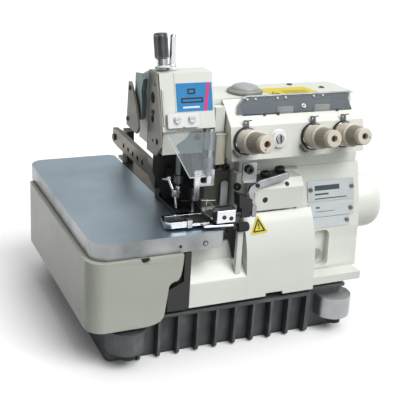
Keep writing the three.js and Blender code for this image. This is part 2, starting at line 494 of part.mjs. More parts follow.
function guideArm() {
  const strip = alongY(outline([[171.5, 25], [177.5, 25], [178.5, 43], [186, 52], [226, 55], [226, 64],
    [176, 62], [172.5, 44]]), 21.4, 24.7);
  const plate = block(164, 182.6, 22, 24.7, 58, 79.6);
  const foot = block(171.5, 177, 8, 24, 25, 40);
  return join(strip, plate, foot);
}
add('guide_arm', guideArm(), paint.chrome);
const guideRod = (play, x0, x1) => rodX(GUIDE_ROD.y, GUIDE_ROD.z, GUIDE_ROD.r + play, x0, x1, 12);
add('guide_pivot_block', join(block(157, 171.2, 8, 22, 25, 44), guideRod(0, 128, 158)), paint.black);
function fabricGuide() {
  const carriage = cut(block(130, 150, 2, 15, 25, 40), guideRod(GAP, 120, 160));
  const slide = alongZ(outline([[116, 6], [149, 2], [149, 36], [129, 40], [122, 30]]), 20.4, 25.1);
  const rails = cut(alongZ(outline([[78, 17], [84, 13], [121, 12.6], [121, 34], [132, 34], [132, 39.5],
    [84, 41]]), 20.4, 25.4), alongZ(outline([[80.5, 18], [85, 14.8], [113.5, 14.4], [113.5, 38],
    [85, 39.2]]), 19, 27));
  return join(rails, block(100, 106, 12, 16, 20.4, 27), carriage, slide);
}
add('fabric_guide', fabricGuide(), paint.chrome);
const thumb = station(155.8, 8.5, 16.2);
thumb.rotation.y = Math.PI / 2;
add('guide_knob', turned([[0, -5.6], [1.6, -5.6], [1.6, 0], [5, 0], [5, 11.4], [4, 12.4], [0, 12.4]], 16),
  paint.black, thumb);

export default machine;
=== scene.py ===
"""Looks for a serger overlock machine head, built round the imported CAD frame, in metres."""
import json
import math

import bmesh
import bpy
from mathutils import Matrix, Vector


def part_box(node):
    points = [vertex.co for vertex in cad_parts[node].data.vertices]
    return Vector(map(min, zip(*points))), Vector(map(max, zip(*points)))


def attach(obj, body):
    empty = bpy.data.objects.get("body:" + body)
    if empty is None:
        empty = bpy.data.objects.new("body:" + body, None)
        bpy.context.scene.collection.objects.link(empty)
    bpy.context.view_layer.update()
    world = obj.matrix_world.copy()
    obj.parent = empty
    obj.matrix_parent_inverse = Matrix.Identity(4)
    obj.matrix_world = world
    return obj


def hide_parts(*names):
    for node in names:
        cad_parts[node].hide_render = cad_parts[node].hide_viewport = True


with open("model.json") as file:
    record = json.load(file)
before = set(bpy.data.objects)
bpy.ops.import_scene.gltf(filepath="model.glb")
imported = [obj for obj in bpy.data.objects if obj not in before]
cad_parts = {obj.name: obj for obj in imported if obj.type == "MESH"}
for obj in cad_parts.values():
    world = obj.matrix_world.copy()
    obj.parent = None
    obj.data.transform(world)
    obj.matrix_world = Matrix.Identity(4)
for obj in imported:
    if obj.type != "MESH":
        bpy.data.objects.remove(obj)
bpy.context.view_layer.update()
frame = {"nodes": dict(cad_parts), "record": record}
NODES = frame["nodes"]

# The plate frame: origin at the cloth plate's outer front-left corner, underside height, in millimetres.
PLATE_DEPTH, PLATE_THICK = 266.0, 18.0
_low, _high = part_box("cloth_plate")
PLATE_ORIGIN = Vector((_low.x, _high.y - PLATE_DEPTH / 1000, _high.z - PLATE_THICK / 1000))


def place(x, y, z):
    """A point of the plate frame, in millimetres, as a point of the row frame, in metres."""
    return PLATE_ORIGIN + Vector((x, y, z)) / 1000


# ---- colours and materials ------------------------------------------------------------------------
def srgb(r, g, b):
    """An 8-bit screen colour as linear red, green, blue, 1."""
    def linear(c):
        c /= 255
        return c / 12.92 if c <= 0.04045 else ((c + 0.055) / 1.055) ** 2.4
    return (linear(r), linear(g), linear(b), 1.0)


class Surface:
    """A node material under construction, with short calls for the nodes it uses."""

    def __init__(self, name, rough, metallic=0.0, coat=0.0):
        self.mat = bpy.data.materials.new(name)
        self.mat.use_nodes = True
        self.tree = self.mat.node_tree
        self.shader = self.tree.nodes["Principled BSDF"]
        self.shader.inputs["Roughness"].default_value = rough
        self.shader.inputs["Metallic"].default_value = metallic
        self.shader.inputs["Coat Weight"].default_value = coat
        self.shader.inputs["Coat Roughness"].default_value = 0.12
        self.coords = self.node("ShaderNodeTexCoord").outputs["Object"]

    def node(self, kind, **inputs):
        made = self.tree.nodes.new(kind)
        for key, value in inputs.items():
            made.inputs[key.replace("_", " ")].default_value = value
        return made

    def link(self, a, b):
        self.tree.links.new(a, b)

    def noise(self, scale, detail=3.0, stretch=(1, 1, 1)):
        mapping = self.node("ShaderNodeMapping", Scale=stretch)
        self.link(self.coords, mapping.inputs["Vector"])
        made = self.node("ShaderNodeTexNoise", Scale=scale, Detail=detail)
        self.link(mapping.outputs["Vector"], made.inputs["Vector"])
        return made.outputs["Fac"]

    def ramp(self, factor, stops):
        made = self.node("ShaderNodeValToRGB")
        elements = made.color_ramp.elements
        elements[0].position, elements[0].color = stops[0]
        elements[1].position, elements[1].color = stops[-1]
        for position, color in stops[1:-1]:
            elements.new(position).color = color
        self.link(factor, made.inputs["Fac"])
        return made.outputs["Color"]

    def spread(self, factor, low, high):
        made = self.node("ShaderNodeMapRange", To_Min=low, To_Max=high)
        self.link(factor, made.inputs["Value"])
        return made.outputs["Result"]

    def mix(self, factor, a, b, blend="MIX"):
        made = self.node("ShaderNodeMix")
        made.data_type, made.blend_type = "RGBA", blend
        for socket, value in ((made.inputs[0], factor), (made.inputs[6], a), (made.inputs[7], b)):
            if isinstance(value, bpy.types.NodeSocket):
                self.link(value, socket)
            else:
                socket.default_value = value
        return made.outputs[2]

    def paint_occlusion_shade(self, color, corner_shade, distance, amount):
        """The colour, darkened towards a dark tone in corners, grooves and joints by ambient occlusion:
        painted shade.
        """
        shade = self.node("ShaderNodeAmbientOcclusion", Distance=distance)
        shade.samples = 6
        open_air = self.spread(shade.outputs["AO"], 1.0, 0.0)
        factor = self.node("ShaderNodeMath")
        factor.operation = "MULTIPLY"
        self.link(open_air, factor.inputs[0])
        factor.inputs[1].default_value = amount
        return self.mix(factor.outputs[0], color, corner_shade)

    def color(self, value):
        self.link(value, self.shader.inputs["Base Color"])

    def rough(self, value):
        self.link(value, self.shader.inputs["Roughness"])

    def bump(self, height, strength, distance):
        made = self.node("ShaderNodeBump", Strength=strength, Distance=distance)
        self.link(height, made.inputs["Height"])
        self.link(made.outputs["Normal"], self.shader.inputs["Normal"])


def enamel(name, base, shade, rough=0.36):
    """Sprayed enamel on a casting: a slight drift of tone, fine orange peel and painted shade in the joints.
    """
    s = Surface(name, rough, coat=0.25)
    tone = s.ramp(s.noise(9, 2), [(0.35, base), (0.7, shade)])
    s.color(s.paint_occlusion_shade(tone, tuple(0.35 * c for c in shade[:3]) + (1,), 0.006, 0.55))
    s.rough(s.spread(s.noise(60, 4), rough - 0.06, rough + 0.1))
    s.bump(s.noise(900, 2), 0.12, 0.0002)
    return s.mat


def bare_metal(name, base, shade, rough, stretch=(1, 1, 1), grain=700, wear=0.1):
    """Machined or plated metal with a grain that stretch draws out along one axis."""
    s = Surface(name, rough, metallic=1.0)
    lines = s.noise(grain, 5, stretch)
    tone = s.ramp(s.noise(22, 4), [(0.3, base), (0.75, shade)])
    # Painted shade: the colour darkens in corners and joints by ambient occlusion.
    s.color(s.paint_occlusion_shade(tone, tuple(0.25 * c for c in shade[:3]) + (1,), 0.004, 0.5))
    s.rough(s.spread(lines, max(rough - wear, 0.03), rough + wear))
    s.bump(lines, 0.08, 0.00015)
    return s.mat


def moulded(name, base, shade, rough, corner_shade=0.5):
    """Moulded plastic or rubber with a fine matt skin."""
    s = Surface(name, rough)
    tone = s.ramp(s.noise(30, 3), [(0.3, base), (0.75, shade)])
    # Painted shade: the colour darkens in corners and grooves by ambient occlusion, at the strength passed
    # in.
    s.color(s.paint_occlusion_shade(tone, tuple(0.4 * c for c in shade[:3]) + (1,), 0.003, corner_shade))
    s.rough(s.spread(s.noise(150, 3), rough - 0.05, rough + 0.1))
    s.bump(s.noise(1500, 2), 0.15, 0.0002)
    return s.mat


def cast_alloy(name):
    """Die-cast alloy: dark grey skin with a fine sandy texture and paler rubbed patches."""
    s = Surface(name, 0.55, metallic=0.55)
    tone = s.ramp(s.noise(40, 5), [(0.3, srgb(72, 76, 78)), (0.6, srgb(92, 96, 97)),
                                   (0.85, srgb(128, 132, 132))])
    # Painted shade: the colour darkens in the pan's recesses and between its ribs by ambient occlusion.
    s.color(s.paint_occlusion_shade(tone, srgb(22, 23, 24), 0.008, 0.75))
    s.rough(s.spread(s.noise(120, 4), 0.45, 0.65))
    s.bump(s.noise(1100, 4), 0.35, 0.0004)
    return s.mat


def clear(name, tint, rough, alpha):
    """Clear or smoked sheet plastic with faint scratches."""
    s = Surface(name, rough)
    s.shader.inputs["Transmission Weight"].default_value = 0.0
    s.shader.inputs["Alpha"].default_value = alpha
    s.shader.inputs["IOR"].default_value = 1.49
    s.color(s.ramp(s.noise(25, 3), [(0.3, tint), (0.8, tuple(min(1, 1.15 * c) for c in tint[:3]) + (1,))]))
    s.rough(s.spread(s.noise(400, 5, (1, 1, 8)), rough, rough + 0.12))
    return s.mat


MATERIALS = {
    "cream_paint": enamel("cream_enamel", srgb(228, 231, 224), srgb(219, 222, 214)),
    "grey_paint": enamel("grey_enamel", srgb(180, 184, 173), srgb(170, 174, 162)),
    "khaki_steel": enamel("khaki_enamel", srgb(140, 139, 124), srgb(122, 120, 106), 0.45),
    "pan_metal": cast_alloy("cast_alloy"),
    "black_rubber": moulded("black_rubber", srgb(24, 24, 25), srgb(38, 38, 38), 0.7),
    "black_steel": moulded("black_oxide", srgb(16, 16, 17), srgb(34, 34, 36), 0.38),
    "chrome": bare_metal("bright_chrome", srgb(225, 227, 230), srgb(200, 203, 208), 0.14, wear=0.06),
    # The beige knobs take painted shade at full strength in their rib grooves.
    "beige_plastic": moulded("beige_plastic", srgb(223, 214, 199), srgb(206, 197, 180), 0.34, 1.0),
    "clear_plastic": clear("clear_plastic", srgb(205, 214, 222), 0.05, 0.17),
    "smoke_plastic": clear("smoked_plastic", srgb(150, 160, 168), 0.05, 0.2),
    "tank_plastic": moulded("tank_plastic", srgb(233, 224, 194), srgb(222, 208, 168), 0.3),
}


def plain(name, color, rough, drift=0.92):
    """A small part's finish: one hue with a little drift of tone and a fine skin."""
    s = Surface(name, rough)
    darker = tuple(drift * c for c in color[:3]) + (1,)
    # Painted shade: the colour darkens in corners by ambient occlusion.
    s.color(s.paint_occlusion_shade(s.ramp(s.noise(120, 3), [(0.3, color), (0.75, darker)]),
                       tuple(0.3 * c for c in color[:3]) + (1,), 0.002, 0.4))
    s.rough(s.spread(s.noise(300, 3), max(rough - 0.05, 0.05), rough + 0.08))
    s.bump(s.noise(1800, 2), 0.08, 0.0001)
    return s.mat


# Each row is a finish: its colour, its roughness, and for some its drift of tone.
PLAIN = {
    "white_plastic": (srgb(238, 238, 236), 0.35),
    "red_dot": (srgb(214, 40, 44), 0.4),
    "yellow_dot": (srgb(236, 190, 30), 0.4),
    "blue_dot": (srgb(70, 150, 220), 0.4),
    "blue_label": (srgb(42, 138, 200), 0.3, 0.86),
    "pink_label": (srgb(240, 50, 128), 0.3),
    "yellow_label": (srgb(222, 202, 0), 0.35),
    "label_ink": (srgb(30, 28, 20), 0.4),
    "sign_ink": (srgb(60, 78, 84), 0.4),
    "trough_grey": (srgb(84, 92, 98), 0.5),
    "painted_shade_grey": (srgb(46, 52, 55), 0.45),
    "roller_grey": (srgb(206, 198, 186), 0.4),
    "ribbed_grey": (srgb(150, 152, 146), 0.35),
    "throat_shadow": (srgb(104, 105, 94), 0.6, 0.8),
    "needle_shade": (srgb(20, 20, 21), 0.55),
    "painted_edge_highlight": (srgb(235, 238, 240), 0.2),
}
# Each row is a metal: its two tones, its roughness, and for some its stretch, grain and wear.
METALS = {
    "sign_metal": (srgb(205, 210, 212), srgb(190, 196, 198), 0.42, (14, 1, 1), 60),
    "satin_chrome": (srgb(214, 216, 218), srgb(196, 199, 202), 0.26, (1, 1, 1), 700, 0.03),
    "brushed_dark": (srgb(138, 142, 142), srgb(96, 100, 100), 0.3, (1, 1, 0.05), 400),
    # The lighter copy for the pan's right ears: painted light.
    "ear_painted_light": (srgb(196, 199, 200), srgb(146, 149, 150), 0.34),
    # brushed_chrome's dark patches are painted dark reflections.
    "brushed_chrome": (srgb(206, 208, 210), srgb(84, 88, 92), 0.2, (1, 1, 9), 260),
    # The darker copy for the cloth plate's sides: painted shade.
    "plate_side_shaded": (srgb(170, 173, 173), srgb(106, 110, 111), 0.33, (1, 1, 16), 150),
    "plate_khaki": (srgb(128, 123, 110), srgb(92, 88, 78), 0.34),
    "rivet_bronze": (srgb(150, 144, 128), srgb(96, 90, 76), 0.3),
    "guard_teal": (srgb(112, 128, 130), srgb(84, 96, 98), 0.34),
    "satin_steel": (srgb(188, 204, 216), srgb(172, 188, 200), 0.4, (12, 1, 1), 90),
    "dark_steel": (srgb(92, 96, 98), srgb(66, 69, 71), 0.38),
    "plate_aluminium": (srgb(205, 212, 218), srgb(188, 196, 203), 0.38, (1, 1, 14), 120),
}
MATERIALS["dome_glass"] = clear("dome_glass", srgb(176, 182, 180), 0.08, 0.72)
MATERIALS.update({name: plain(name, *row) for name, row in PLAIN.items()})
MATERIALS.update({name: bare_metal(name, *row) for name, row in METALS.items()})
SLOTS = {row["node"]: row["material_slot"] for row in frame["record"]["subparts"]}


# ---- building shapes ------------------------------------------------------------------------------
ROOT = "frame"


def axes(origin, u, v, w):
    """A local frame in plate millimetres: where it sits, and the directions of its u, v and w."""
    made = Matrix((Vector(u), Vector(v), Vector(w))).transposed().to_4x4()
    made.translation = Vector(origin)
    return made


def upright(x, y, z):
    return axes((x, y, z), (1, 0, 0), (0, 1, 0), (0, 0, 1))


ALONG_X = axes((0, 0, 0), (0, 1, 0), (0, 0, 1), (1, 0, 0))
ALONG_Y = axes((0, 0, 0), (1, 0, 0), (0, 0, 1), (0, 1, 0))
ALONG_Z = upright(0, 0, 0)
FRONTWARD = (0, -1, 0)


def leaning(x, y, z, lean):
    """A frame on a face that leans back by lean radians: u to the right, v up the face, w out of it."""
    return axes((x, y, z), (1, 0, 0), (0, math.sin(lean), math.cos(lean)),
                (0, -math.cos(lean), math.sin(lean)))


def aimed(origin, direction):
    """A frame whose w points along direction."""
    w = Vector(direction).normalized()
    side = Vector((0, 0, 1)) if abs(w.z) < 0.9 else Vector((1, 0, 0))
    u = side.cross(w).normalized()
    return axes(origin, u, w.cross(u), w)


def rounded(points, radius, steps=4):
    """The outline with its corners filleted. A point may carry its own radius as a third number."""
    made, count = [], len(points)
    for i, point in enumerate(points):
        r = point[2] if len(point) > 2 else radius
        here = Vector(point[:2])
        back, ahead = Vector(points[i - 1][:2]) - here, Vector(points[(i + 1) % count][:2]) - here
        half = back.angle(ahead) / 2
        reach = min(r / math.tan(half), 0.49 * back.length, 0.49 * ahead.length) if half > 0.01 else 0
        if reach < 0.01 or half > 1.55:
            made.append(here)
            continue
        a, b = here + back.normalized() * reach, here + ahead.normalized() * reach
        for k in range(steps + 1):
            t = k / steps
            made.append((1 - t) ** 2 * a + 2 * t * (1 - t) * here + t ** 2 * b)
    return made


def disc(u, v, r, sides=24):
    return [(u + r * math.cos(2 * math.pi * i / sides), v + r * math.sin(2 * math.pi * i / sides))
            for i in range(sides)]


def box_outline(u0, v0, u1, v1, r=0.0):
    return rounded([(u0, v0), (u1, v0), (u1, v1), (u0, v1)], r)


class Piece:
    """One mesh put together from simple closed shapes, in plate millimetres."""

    def __init__(self, name):
        self.name, self.bm = name, bmesh.new()

    def vert(self, frame_, u, v, w):
        return self.bm.verts.new(place(*(frame_ @ Vector((u, v, w)))))

    def prism(self, outline_, frame_, w0, w1, holes=()):
        edges = []
        for loop in (outline_, *holes):
            ring = [self.vert(frame_, p[0], p[1], w0) for p in loop]
            edges += [self.bm.edges.new((ring[i - 1], ring[i])) for i in range(len(ring))]
        filled = bmesh.ops.triangle_fill(self.bm, edges=edges, use_beauty=True)
        faces = [g for g in filled["geom"] if isinstance(g, bmesh.types.BMFace)]
        grown = bmesh.ops.extrude_face_region(self.bm, geom=faces)["geom"]
        moved = [g for g in grown if isinstance(g, bmesh.types.BMVert)]
        bmesh.ops.translate(self.bm, verts=moved, vec=frame_.to_3x3() @ Vector((0, 0, w1 - w0)) / 1000)
        return self

    def box(self, x0, x1, y0, y1, z0, z1, r=0.0):
        return self.prism(box_outline(x0, y0, x1, y1, r), ALONG_Z, z0, z1)

    def turned(self, profile, frame_, sides=32, ribs=0, depth=0.0):
        """A shape turned about w from (radius, height) rows. A row with a third value carries the ribs."""
        ring_like = tuple(profile[0][:2]) == tuple(profile[-1][:2])
        rings = []
        for row in profile[:-1] if ring_like else profile:
            r, h = row[0], row[1]
            if r == 0:
                rings.append([self.vert(frame_, 0, 0, h)])
                continue
            ring = []
            for i in range(sides):
                a = 2 * math.pi * i / sides
                dip = depth if len(row) > 2 and ribs and (i * ribs * 2 // sides) % 2 else 0
                ring.append(self.vert(frame_, (r - dip) * math.cos(a), (r - dip) * math.sin(a), h))
            rings.append(ring)
        pairs = list(zip(rings, rings[1:])) + ([(rings[-1], rings[0])] if ring_like else [])
        for low, high in pairs:
            for i in range(sides):
                j = (i + 1) % sides
                if len(low) == 1 and len(high) == 1:
                    break
                if len(low) == 1:
                    self.bm.faces.new((low[0], high[j], high[i]))
                elif len(high) == 1:
                    self.bm.faces.new((low[i], low[j], high[0]))
                else:
                    self.bm.faces.new((low[i], low[j], high[j], high[i]))
        return self

    def rod(self, a, b, r, sides=20, chamfer=0.3):
        length = (Vector(b) - Vector(a)).length
        c = min(chamfer, r / 2, length / 3)
        return self.turned([(0, 0), (r - c, 0), (r, c), (r, length - c), (r - c, length), (0, length)],
                           aimed(a, Vector(b) - Vector(a)), sides)

    def cap_screw(self, at, direction, r, h):
        """A socket-head cap screw, standing h proud of at."""
        key = 0.48 * r
        self.turned([(0, -0.2), (r, -0.2), (r, h - 0.4), (r - 0.3, h), (key, h), (key, h - 0.7 * r),
                     (0, h - 0.7 * r)], aimed(at, direction), 24)
        return self

    def dome_screw(self, at, direction, r, h, angle=0.6):
        """A cheese-head screw with a straight slot, standing h proud of at."""
        frame_ = aimed(at, direction) @ Matrix.Rotation(angle, 4, "Z")
        gap, floor = 0.22 * r, h * 0.45
        self.turned([(0, -0.2), (r, -0.2), (r, floor), (0, floor)], frame_, 24)
        start = math.asin(gap / r)
        for side in (0, math.pi):
            arc = [(r * math.cos(a), r * math.sin(a)) for a in
                   (side + start + (math.pi - 2 * start) * k / 12 for k in range(13))]
            self.prism(arc, frame_, floor - 0.02, h)
        return self

    def strip(self, points, thick, frame_, w0, w1):
        """A bent strip: its centre line in (u, v), its thickness, run from w0 to w1."""
        path = [Vector(p[:2]) for p in points]
        left, right = [], []
        for i, p in enumerate(path):
            a = (path[i] - path[i - 1]).normalized() if i else (path[1] - path[0]).normalized()
            b = (path[i + 1] - path[i]).normalized() if i < len(path) - 1 else a
            mid = (a + b).normalized()
            normal = Vector((-mid.y, mid.x))
            k = thick / 2 / max(0.3, normal.dot(Vector((-a.y, a.x))))
            left.append(p + normal * k)
            right.append(p - normal * k)
        return self.prism(left + right[::-1], frame_, w0, w1)

    def done(self, finish, body=ROOT, bevel=0.25, replaces=(), segments=2):
        """Makes the object, with its finish, and puts it on the body that it rides."""
        bmesh.ops.remove_doubles(self.bm, verts=self.bm.verts, dist=1e-6)
        bmesh.ops.recalc_face_normals(self.bm, faces=self.bm.faces)
        mesh = bpy.data.meshes.new(self.name)
        self.bm.to_mesh(mesh)
        self.bm.free()
        obj = bpy.data.objects.new(self.name, mesh)
        bpy.context.scene.collection.objects.link(obj)
        mesh.materials.append(MATERIALS[finish])
        soften(obj, bevel, segments)
        if replaces:
            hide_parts(*replaces)
        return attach(obj, body)


def soften(obj, width, segments=2, angle=30):
    """Smooth shading, with flat faces merged and sharp edges rounded."""
    for polygon in obj.data.polygons:
        polygon.use_smooth = True
    if width:
        flat = obj.modifiers.new("merge_flat", "DECIMATE")
        flat.decimate_type, flat.angle_limit = "DISSOLVE", math.radians(1)
        bevel = obj.modifiers.new("soft_edges", "BEVEL")
        bevel.width, bevel.segments = width / 1000, segments
        bevel.limit_method, bevel.angle_limit = "ANGLE", math.radians(angle)
        bevel.use_clamp_overlap = True
    else:
        obj.data.set_sharp_from_angle(angle=math.radians(angle))
    normals = obj.modifiers.new("even_normals", "WEIGHTED_NORMAL")
    normals.keep_sharp = True


# ---- CAD nodes that show as they are --------------------------------------------------------------
BEVELS = {"bed_casting": 2.5, "arm_casting": 2.0, "top_cover": 2.0, "head_casting": 2.0,
          "head_cover": 2.0, "tension_panel": 2.5, "cloth_plate": 3.2, "side_cover": 0.8, "oil_pan": 0.9}


def dress(node):
    """Gives a CAD node its material, softened edges and smooth shading."""
    obj = NODES[node]
    obj.data.materials.clear()
    obj.data.materials.append(MATERIALS[SLOTS[node]])
    soften(obj, BEVELS.get(node, 0.4), 3, 32)


for node in NODES:
    dress(node)

# The cloth plate's top is satin; its sides and rolled edge get a second, darker bare metal: painted shade,
# set by which way each face points.
plate = NODES["cloth_plate"]
plate.data.materials.append(MATERIALS["plate_side_shaded"])
for polygon in plate.data.polygons:
    if polygon.normal.z < 0.7:
        polygon.material_index = 1
plate.modifiers["soft_edges"].material = 1
plate.modifiers["soft_edges"].segments = 5

# The pan's right ears and the right end of its rim get a lighter, silvery copy of the alloy: painted light
# where they stand out of the pan's shade.
pan = NODES["oil_pan"].data
pan.materials.append(MATERIALS["ear_painted_light"])
EAR_X, EAR_Y = 283, {"front": 11, "rear": 259}
EAR_SPOTS, EAR_REACH = [place(EAR_X, y, 0) for y in EAR_Y.values()], 0.0215
EAR_FOOT, EAR_TOP, RIM_END = place(0, 0, -103).z, place(0, 0, -77).z, place(296, 0, -75)
for polygon in pan.polygons:
    spot = polygon.center
    by_ear = min(math.hypot(spot.x - ear.x, spot.y - ear.y) for ear in EAR_SPOTS) < EAR_REACH
    on_rim_end = spot.x > RIM_END.x and spot.z > RIM_END.z
    if (by_ear and EAR_FOOT < spot.z < EAR_TOP) or on_rim_end:
        polygon.material_index = 1

# Dark discs and a ring on the cloth plate's two edge holes, and a dark strip in the notch under it in the
# side cover: painted shade.
holes = Piece("plate_hole_shades")
holes.prism(disc(90, 6.5, 1.7, 20), ALONG_Y, -0.1, 0.1)
holes.prism(disc(117, 6.8, 2.9, 20), ALONG_Y, -0.12, 0.1, holes=[disc(117, 6.8, 2.1, 20)])
holes.box(46.5, 57.5, -1.9, -1.4, -6, -0.5)
holes.done("needle_shade", "cloth_door", 0)

for node in ("back_plate", "presser_arm"):
    NODES[node].data.materials[0] = MATERIALS["plate_khaki"]

# ---- faces that details sit on --------------------------------------------------------------------
PANEL_LEAN, SLOPE_LEAN, HEAD_LEAN = math.atan2(7.5, 34), math.atan2(24.2, 23), math.atan2(16.4, 54.8)
HEAD_FACE = leaning(0, 39.6, 113, HEAD_LEAN)
SLOPE = leaning(0, 37.5, 114, SLOPE_LEAN)
KNOB_X = {"left": 171.5, "middle": 250.0, "right": 287.5}
KNOB_Z = 99.5


def panel_at(x, z=KNOB_Z):
    return leaning(x, 30 + (z - 80) * math.tan(PANEL_LEAN), z, PANEL_LEAN)


def head_v(z):
    """The distance up the head's front face at height z."""
    return (z - 113) / math.cos(HEAD_LEAN)


# ---- tension knobs, discs, clips and release ------------------------------------------------------
DOTS = {"left": ("red_dot", -2.2, -5.0), "middle": ("yellow_dot", 4.8, -2.6),
        "right": ("blue_dot", 5.4, -1.2)}
KNOB_END = {"left": 47, "middle": 43.5, "right": 42.5}
for side, x in KNOB_X.items():
    stud, end = panel_at(x), KNOB_END[side]
    knob = Piece(f"knob_{side}")
    knob.turned([(2.7, 3.4), (11.9, 3.4), (12.4, 4.0), (12.6, 9), (12.6, 16.6), (12.1, 17.2), (11.9, 17.8),
                 (12.4, 18.4), (12.5, 20.4), (11.9, 21.2), (11.0, 21.6), (11.0, 21.9, 1), (10.8, 22.3, 1),
                 (9.7, end - 7.6, 1), (9.5, end - 7.0, 1), (8.9, end - 6.8), (8.9, end - 1.0),
                 (8.5, end - 0.3),
                 (7.8, end), (3.7, end), (3.4, end - 0.4), (3.4, end - 6), (2.7, end - 6), (2.7, 3.4)],
                stud, 144, ribs=36, depth=1.2)
    knob.done("beige_plastic", f"tension_knob_{side}", 0,
              replaces=(f"tension_knob_{side}",))
    bore = Piece(f"knob_bore_{side}")
    bore.prism(disc(0, 0, 3.35, 32), stud, end - 5.9, end - 5.4, holes=[disc(0, 0, 2.6, 24)])
    bore.done("black_rubber", f"tension_knob_{side}", 0)
    tone, u, v = DOTS[side]
    dot = Piece(f"knob_dot_{side}")
    dot.prism(disc(u, v, 1.0, 16), stud, end - 0.2, end + 0.06)
    dot.done(tone, f"tension_knob_{side}", 0)
    discs = Piece(f"discs_{side}")
    discs.turned([(0, 0.3), (13.9, 0.3), (14.3, 0.7), (14.3, 2.2), (14, 2.5), (9.6, 2.5), (2.4, 2.5),
                  (2.4, 30), (0, 30)], stud, 48)
    discs.done("needle_shade", ROOT, 0, replaces=(f"tension_discs_{side}",))
    plates = Piece(f"disc_plates_{side}")
    plates.turned([(2.8, 2.6), (12.2, 2.6), (12.8, 2.8), (12.4, 3.1), (2.8, 3.2), (2.8, 2.6)], stud, 48)
    clip = Piece(f"thread_clip_{side}")
    clip.prism(rounded([(-2.6, 12.6), (3.6, 12.6), (3.6, 19.6), (1.4, 21.4), (-2.6, 21.4)], 0.8), stud, 0.3,
               1.3, holes=[disc(0.2, 18.6, 1.1, 12)])
    clip.prism(box_outline(-2.6, 12.4, 3.6, 13.6, 0.4), stud, 0.3, 6.4)
    clip.rod(stud @ Vector((2.4, 20.4, 1)), stud @ Vector((5.8, 21.2, 4)), 0.6, 10)
    if side != "right":
        clip.prism(rounded([(-13.4, -8.2), (-9.6, -12.8), (-5.8, -15.4), (-7.4, -17.0), (-12.0, -15.2),
                            (-16.2, -9.2)], 0.6), stud, 0.3, 1.4)
        clip.prism(rounded([(-16.4, -9.0), (-15.0, -7.2), (-8.4, -14.8), (-9.8, -16.4)], 0.4), stud, 1.0, 6.5)
    clip.done("brushed_dark", ROOT, 0.15)
    plates.done("chrome", ROOT, 0)

boss = panel_at(209)
release = Piece("release_boss")
release.turned([(4.75, 3.6), (4.75, 4.1), (6.6, 4.1), (7.6, 3.6), (9.6, 1.2), (10.4, 0.4), (10.4, 0.3),
                (8.9, 0.3), (8.9, 2.6), (4.75, 3.6)], boss, 48)
release.done("white_plastic", ROOT, 0)
pin = Piece("release_pin")
pin.turned([(0, -8), (4.25, -8), (4.25, 3.2), (0, 3.2)], boss, 32)
for side in (-1, 1):
    arc = [(side * (1.0 + 3.1 * math.sin(math.pi * k / 12)),
            4.0 * math.cos(math.pi * k / 12)) for k in range(13)]
    pin.prism(arc, boss, 3.1, 6.6)
pin.done("chrome", "tension_release", 0.2, replaces=("tension_release_button",))

# ---- window over the thread trough ----------------------------------------------------------------
window = Piece("window")
sheet = rounded([(163.5, 13.4), (167.5, 24, 8), (178, 34.2, 9), (309.2, 34.0, 2.5), (304.6, 22),
                 (300.6, 12.6, 2)], 2)
window.prism(sheet, SLOPE, 0.35, 1.6)
window.done("smoke_plastic", ROOT, 0.3, replaces=("tension_window",))
rim = Piece("window_rim")
rim.prism(rounded([(176, 32.2, 4), (182, 35.3, 4), (309.6, 35.1), (309.6, 33.4), (183, 33.6), (178, 31.4)],
                  0.6),
          SLOPE, 1.7, 2.3)
rim.done("chrome", ROOT, 0.1)
trough = Piece("trough_liner")
trough.prism([(46.8, 110.2), (57.7, 110.2), (57.7, 132.4), (56.9, 131.6), (56.9, 111), (47.6, 111),
              (47.6, 122.4), (46.8, 121.6)], ALONG_X, 172.3, 303.7)
trough.done("trough_grey", ROOT, 0.1)
# Dark films just behind the glass, a band above the opening and a cheek at its left end: painted shade of the
# trough inside.
band = Piece("window_shade_band")
band.prism(rounded([(173, 27.2), (304.2, 27.2), (308.4, 33.2), (181, 33.2)], 1), SLOPE, 0.04, 0.28)
band.done("painted_shade_grey", ROOT, 0)
cheek = Piece("window_left_shade_film")
cheek.prism(rounded([(165.6, 14.4), (169.2, 24), (180, 33), (180, 27.4), (172.4, 27.4), (172.4, 14.2)], 0.8),
            SLOPE, 0.04, 0.28)
cheek.done("trough_grey", ROOT, 0)
rollers = Piece("trough_rollers")
for x in (226, 271):
    barrel = []
    for t in range(48):
        a, high = t * math.pi / 24, 2.9 + 0.12 * (t % 2)
        barrel.append((x + 9.6 * math.cos(a), 54.6 + high * math.sin(a)))
    rollers.prism(barrel, ALONG_Z, 114.5, 127.4)
rollers.done("roller_grey", ROOT, 0)
eyelets = Piece("window_eyelets")
for x, v in ((181.8, 30.6), (191.6, 30.8), (217.6, 30.6), (227.2, 30.6), (261.7, 30.8), (273.1, 31.0)):
    eyelets.turned([(0.5, 1.7), (1.2, 1.7), (1.3, 2.1), (1.1, 2.5), (0.5, 2.5), (0.5, 1.7)],
                   SLOPE @ Matrix.Translation((x, v, 0)), 20)
eyelets.turned([(1.2, 1.7), (2.5, 1.7), (2.7, 2.2), (2.3, 2.7), (1.2, 2.5), (1.2, 1.7)],
               SLOPE @ Matrix.Translation((245.4, 19.4, 0)), 24)
eyelets.done("white_plastic", ROOT, 0)
for name, at in {"dark_screw_a": (197, 12.6), "dark_screw_b": (213, 12.6),
                 "dark_screw_c": (285, 13.0)}.items():
    dark = Piece(name)
    dark.turned([(0, 0.1), (2.0, 0.1), (1.8, 1.0), (0.9, 1.2), (0.9, 0.7), (0, 0.7)],
                SLOPE @ Matrix.Translation((at[0], at[1], 0)), 20)
    dark.done("black_steel", ROOT, 0)

